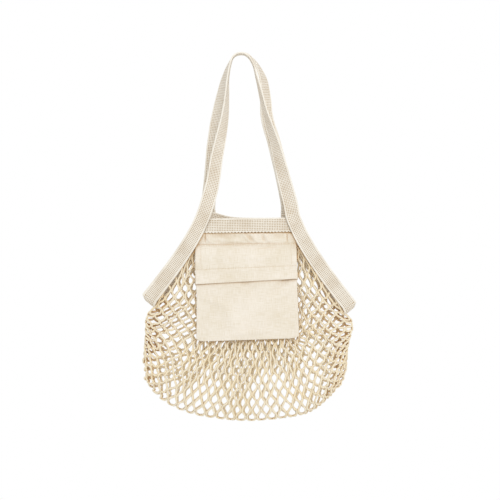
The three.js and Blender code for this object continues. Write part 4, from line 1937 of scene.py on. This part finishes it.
@dataclass
class Studio:
    """The camera at the photograph's angle, soft light all round and a pale floor.

    frame_width is the width that the frame takes in at the bag. The white all round is front_white
    as strong before the bag as behind it, and changes between two values of its direction's Y.
    """

    form: BagForm
    frame_width: float = 875.0
    lens: float = 100.0
    sensor: float = 36.0
    farthest: float = 50000.0
    middle_x: float = 15.8
    middle_z: float = -340.6
    floor_drop: float = 1100.0
    floor_size: float = 2200.0
    floor_colour: str = "#F2F1EE"
    floor_roughness: float = 0.8
    front_white: float = 0.77
    white_range: tuple[float, float] = (-0.6, 0.5)
    key_place: tuple[float, float, float] = (420.0, -1800.0, 650.0)
    key_size: float = 900.0
    key_power: float = 14.5

    def camera(self) -> None:
        """Put the camera straight in front, level with the bag's middle."""
        data = bpy.data.cameras.new("camera")
        data.lens = self.lens
        data.sensor_width = self.sensor
        data.clip_end = self.farthest * MM
        camera = bpy.data.objects.new("camera", data)
        away = self.frame_width * self.lens / self.sensor
        camera.location = Vector((self.middle_x, -away, self.middle_z)) * MM
        camera.rotation_euler = (math.pi / 2, 0.0, 0.0)
        bpy.context.scene.collection.objects.link(camera)
        bpy.context.scene.camera = camera

    def light(self) -> None:
        """Add a square soft light, up to the right in front, that points at the bag's middle."""
        data = bpy.data.lights.new("key light", "AREA")
        data.size = self.key_size * MM
        data.energy = self.key_power
        lamp = bpy.data.objects.new("key light", data)
        lamp.location = Vector(self.key_place) * MM
        target = Vector((self.middle_x, 0.0, self.middle_z)) * MM
        lamp.rotation_euler = (target - lamp.location).to_track_quat("-Z", "Y").to_euler()
        bpy.context.scene.collection.objects.link(lamp)

    def surroundings(self) -> None:
        """Surround the bag with white, a little dimmer in front of it than behind."""
        world = bpy.data.worlds.new("white studio")
        world.use_nodes = True
        tree = world.node_tree
        tree.nodes.clear()
        coords = add_node(tree, "ShaderNodeTexCoord")
        parts = add_node(tree, "ShaderNodeSeparateXYZ", Vector=coords.outputs["Generated"])
        low, high = self.white_range
        limits = {"From_Min": low, "From_Max": high, "To_Min": self.front_white}
        strength = add_node(tree, "ShaderNodeMapRange", Value=parts.outputs["Y"], **limits)
        white = add_node(tree, "ShaderNodeBackground", Color=(1.0, 1.0, 1.0, 1.0), Strength=strength)
        add_node(tree, "ShaderNodeOutputWorld", Surface=white)
        bpy.context.scene.world = world

    def floor(self) -> None:
        """Lay a pale floor well below the bag."""
        material = bpy.data.materials.new("painted floor")
        material.use_nodes = True
        shader = material.node_tree.nodes["Principled BSDF"]
        shader.inputs["Base Color"].default_value = linear(self.floor_colour)
        shader.inputs["Roughness"].default_value = self.floor_roughness
        place_down = (0.0, 0.0, -self.floor_drop * MM)
        bpy.ops.mesh.primitive_plane_add(size=self.floor_size * MM, location=place_down)
        floor = bpy.context.object
        floor.name = "floor"
        floor.data.materials.append(material)

    def build(self) -> None:
        """Build the studio."""
        self.camera()
        self.surroundings()
        self.light()
        self.floor()
        bpy.context.scene.view_settings.view_transform = "Standard"
        LOG.info("studio ready")


def main() -> None:
    """Build the studio and the bag."""
    logging.basicConfig(level=logging.INFO, format="%(message)s")
    form = BagForm()
    Studio(form).build()
    # Woven open, so it looks cream with brown pinholes, which are painted shade, and brown painted shade
    # where it lies on cloth.
    webbing = WebbingFinish(
        "woven cotton webbing",
        light="#F1EBDF",
        shade="#AD8D59",
        painted_crevice_shade="#846836",
        relief=0.4,
        crevice=6.0,
        crevice_none=0.88,
    )
    # Knitted loose and fluffy, so it looks paler than the webbing, with warm painted shade between
    # cords.
    cord = NetFinish(
        "knitted cotton cord",
        light="#FFFAEA",
        shade="#FADFA2",
        painted_crevice_shade="#C68C10",
        relief=0.4,
        crevice=20.0,
        crevice_whole=0.08,
        crevice_none=0.92,
    )
    # Woven plain and pressed, so it looks smooth, with wide faint patches and tan painted shade in its
    # folds.
    calico = CalicoFinish(
        "cotton calico",
        light="#EFE7DA",
        shade="#DDD1B9",
        painted_crevice_shade="#BF9356",
        relief=0.06,
        crevice=13.0,
        crevice_whole=0.45,
        crevice_none=0.985,
        blotch=65.0,
        blotch_strength=0.28,
    )
    # Twisted from two plies and paler than the cloth, so each stitch shows as a small light dash.
    thread = ThreadFinish("cotton sewing thread", light="#FAF4E6", shade="#E0D0AC", relief=0.1)
    Webbing(form, webbing).build()
    Net(form, cord).build()
    Pouch(form, calico, thread).build()


if __name__ == "__main__":
    main()
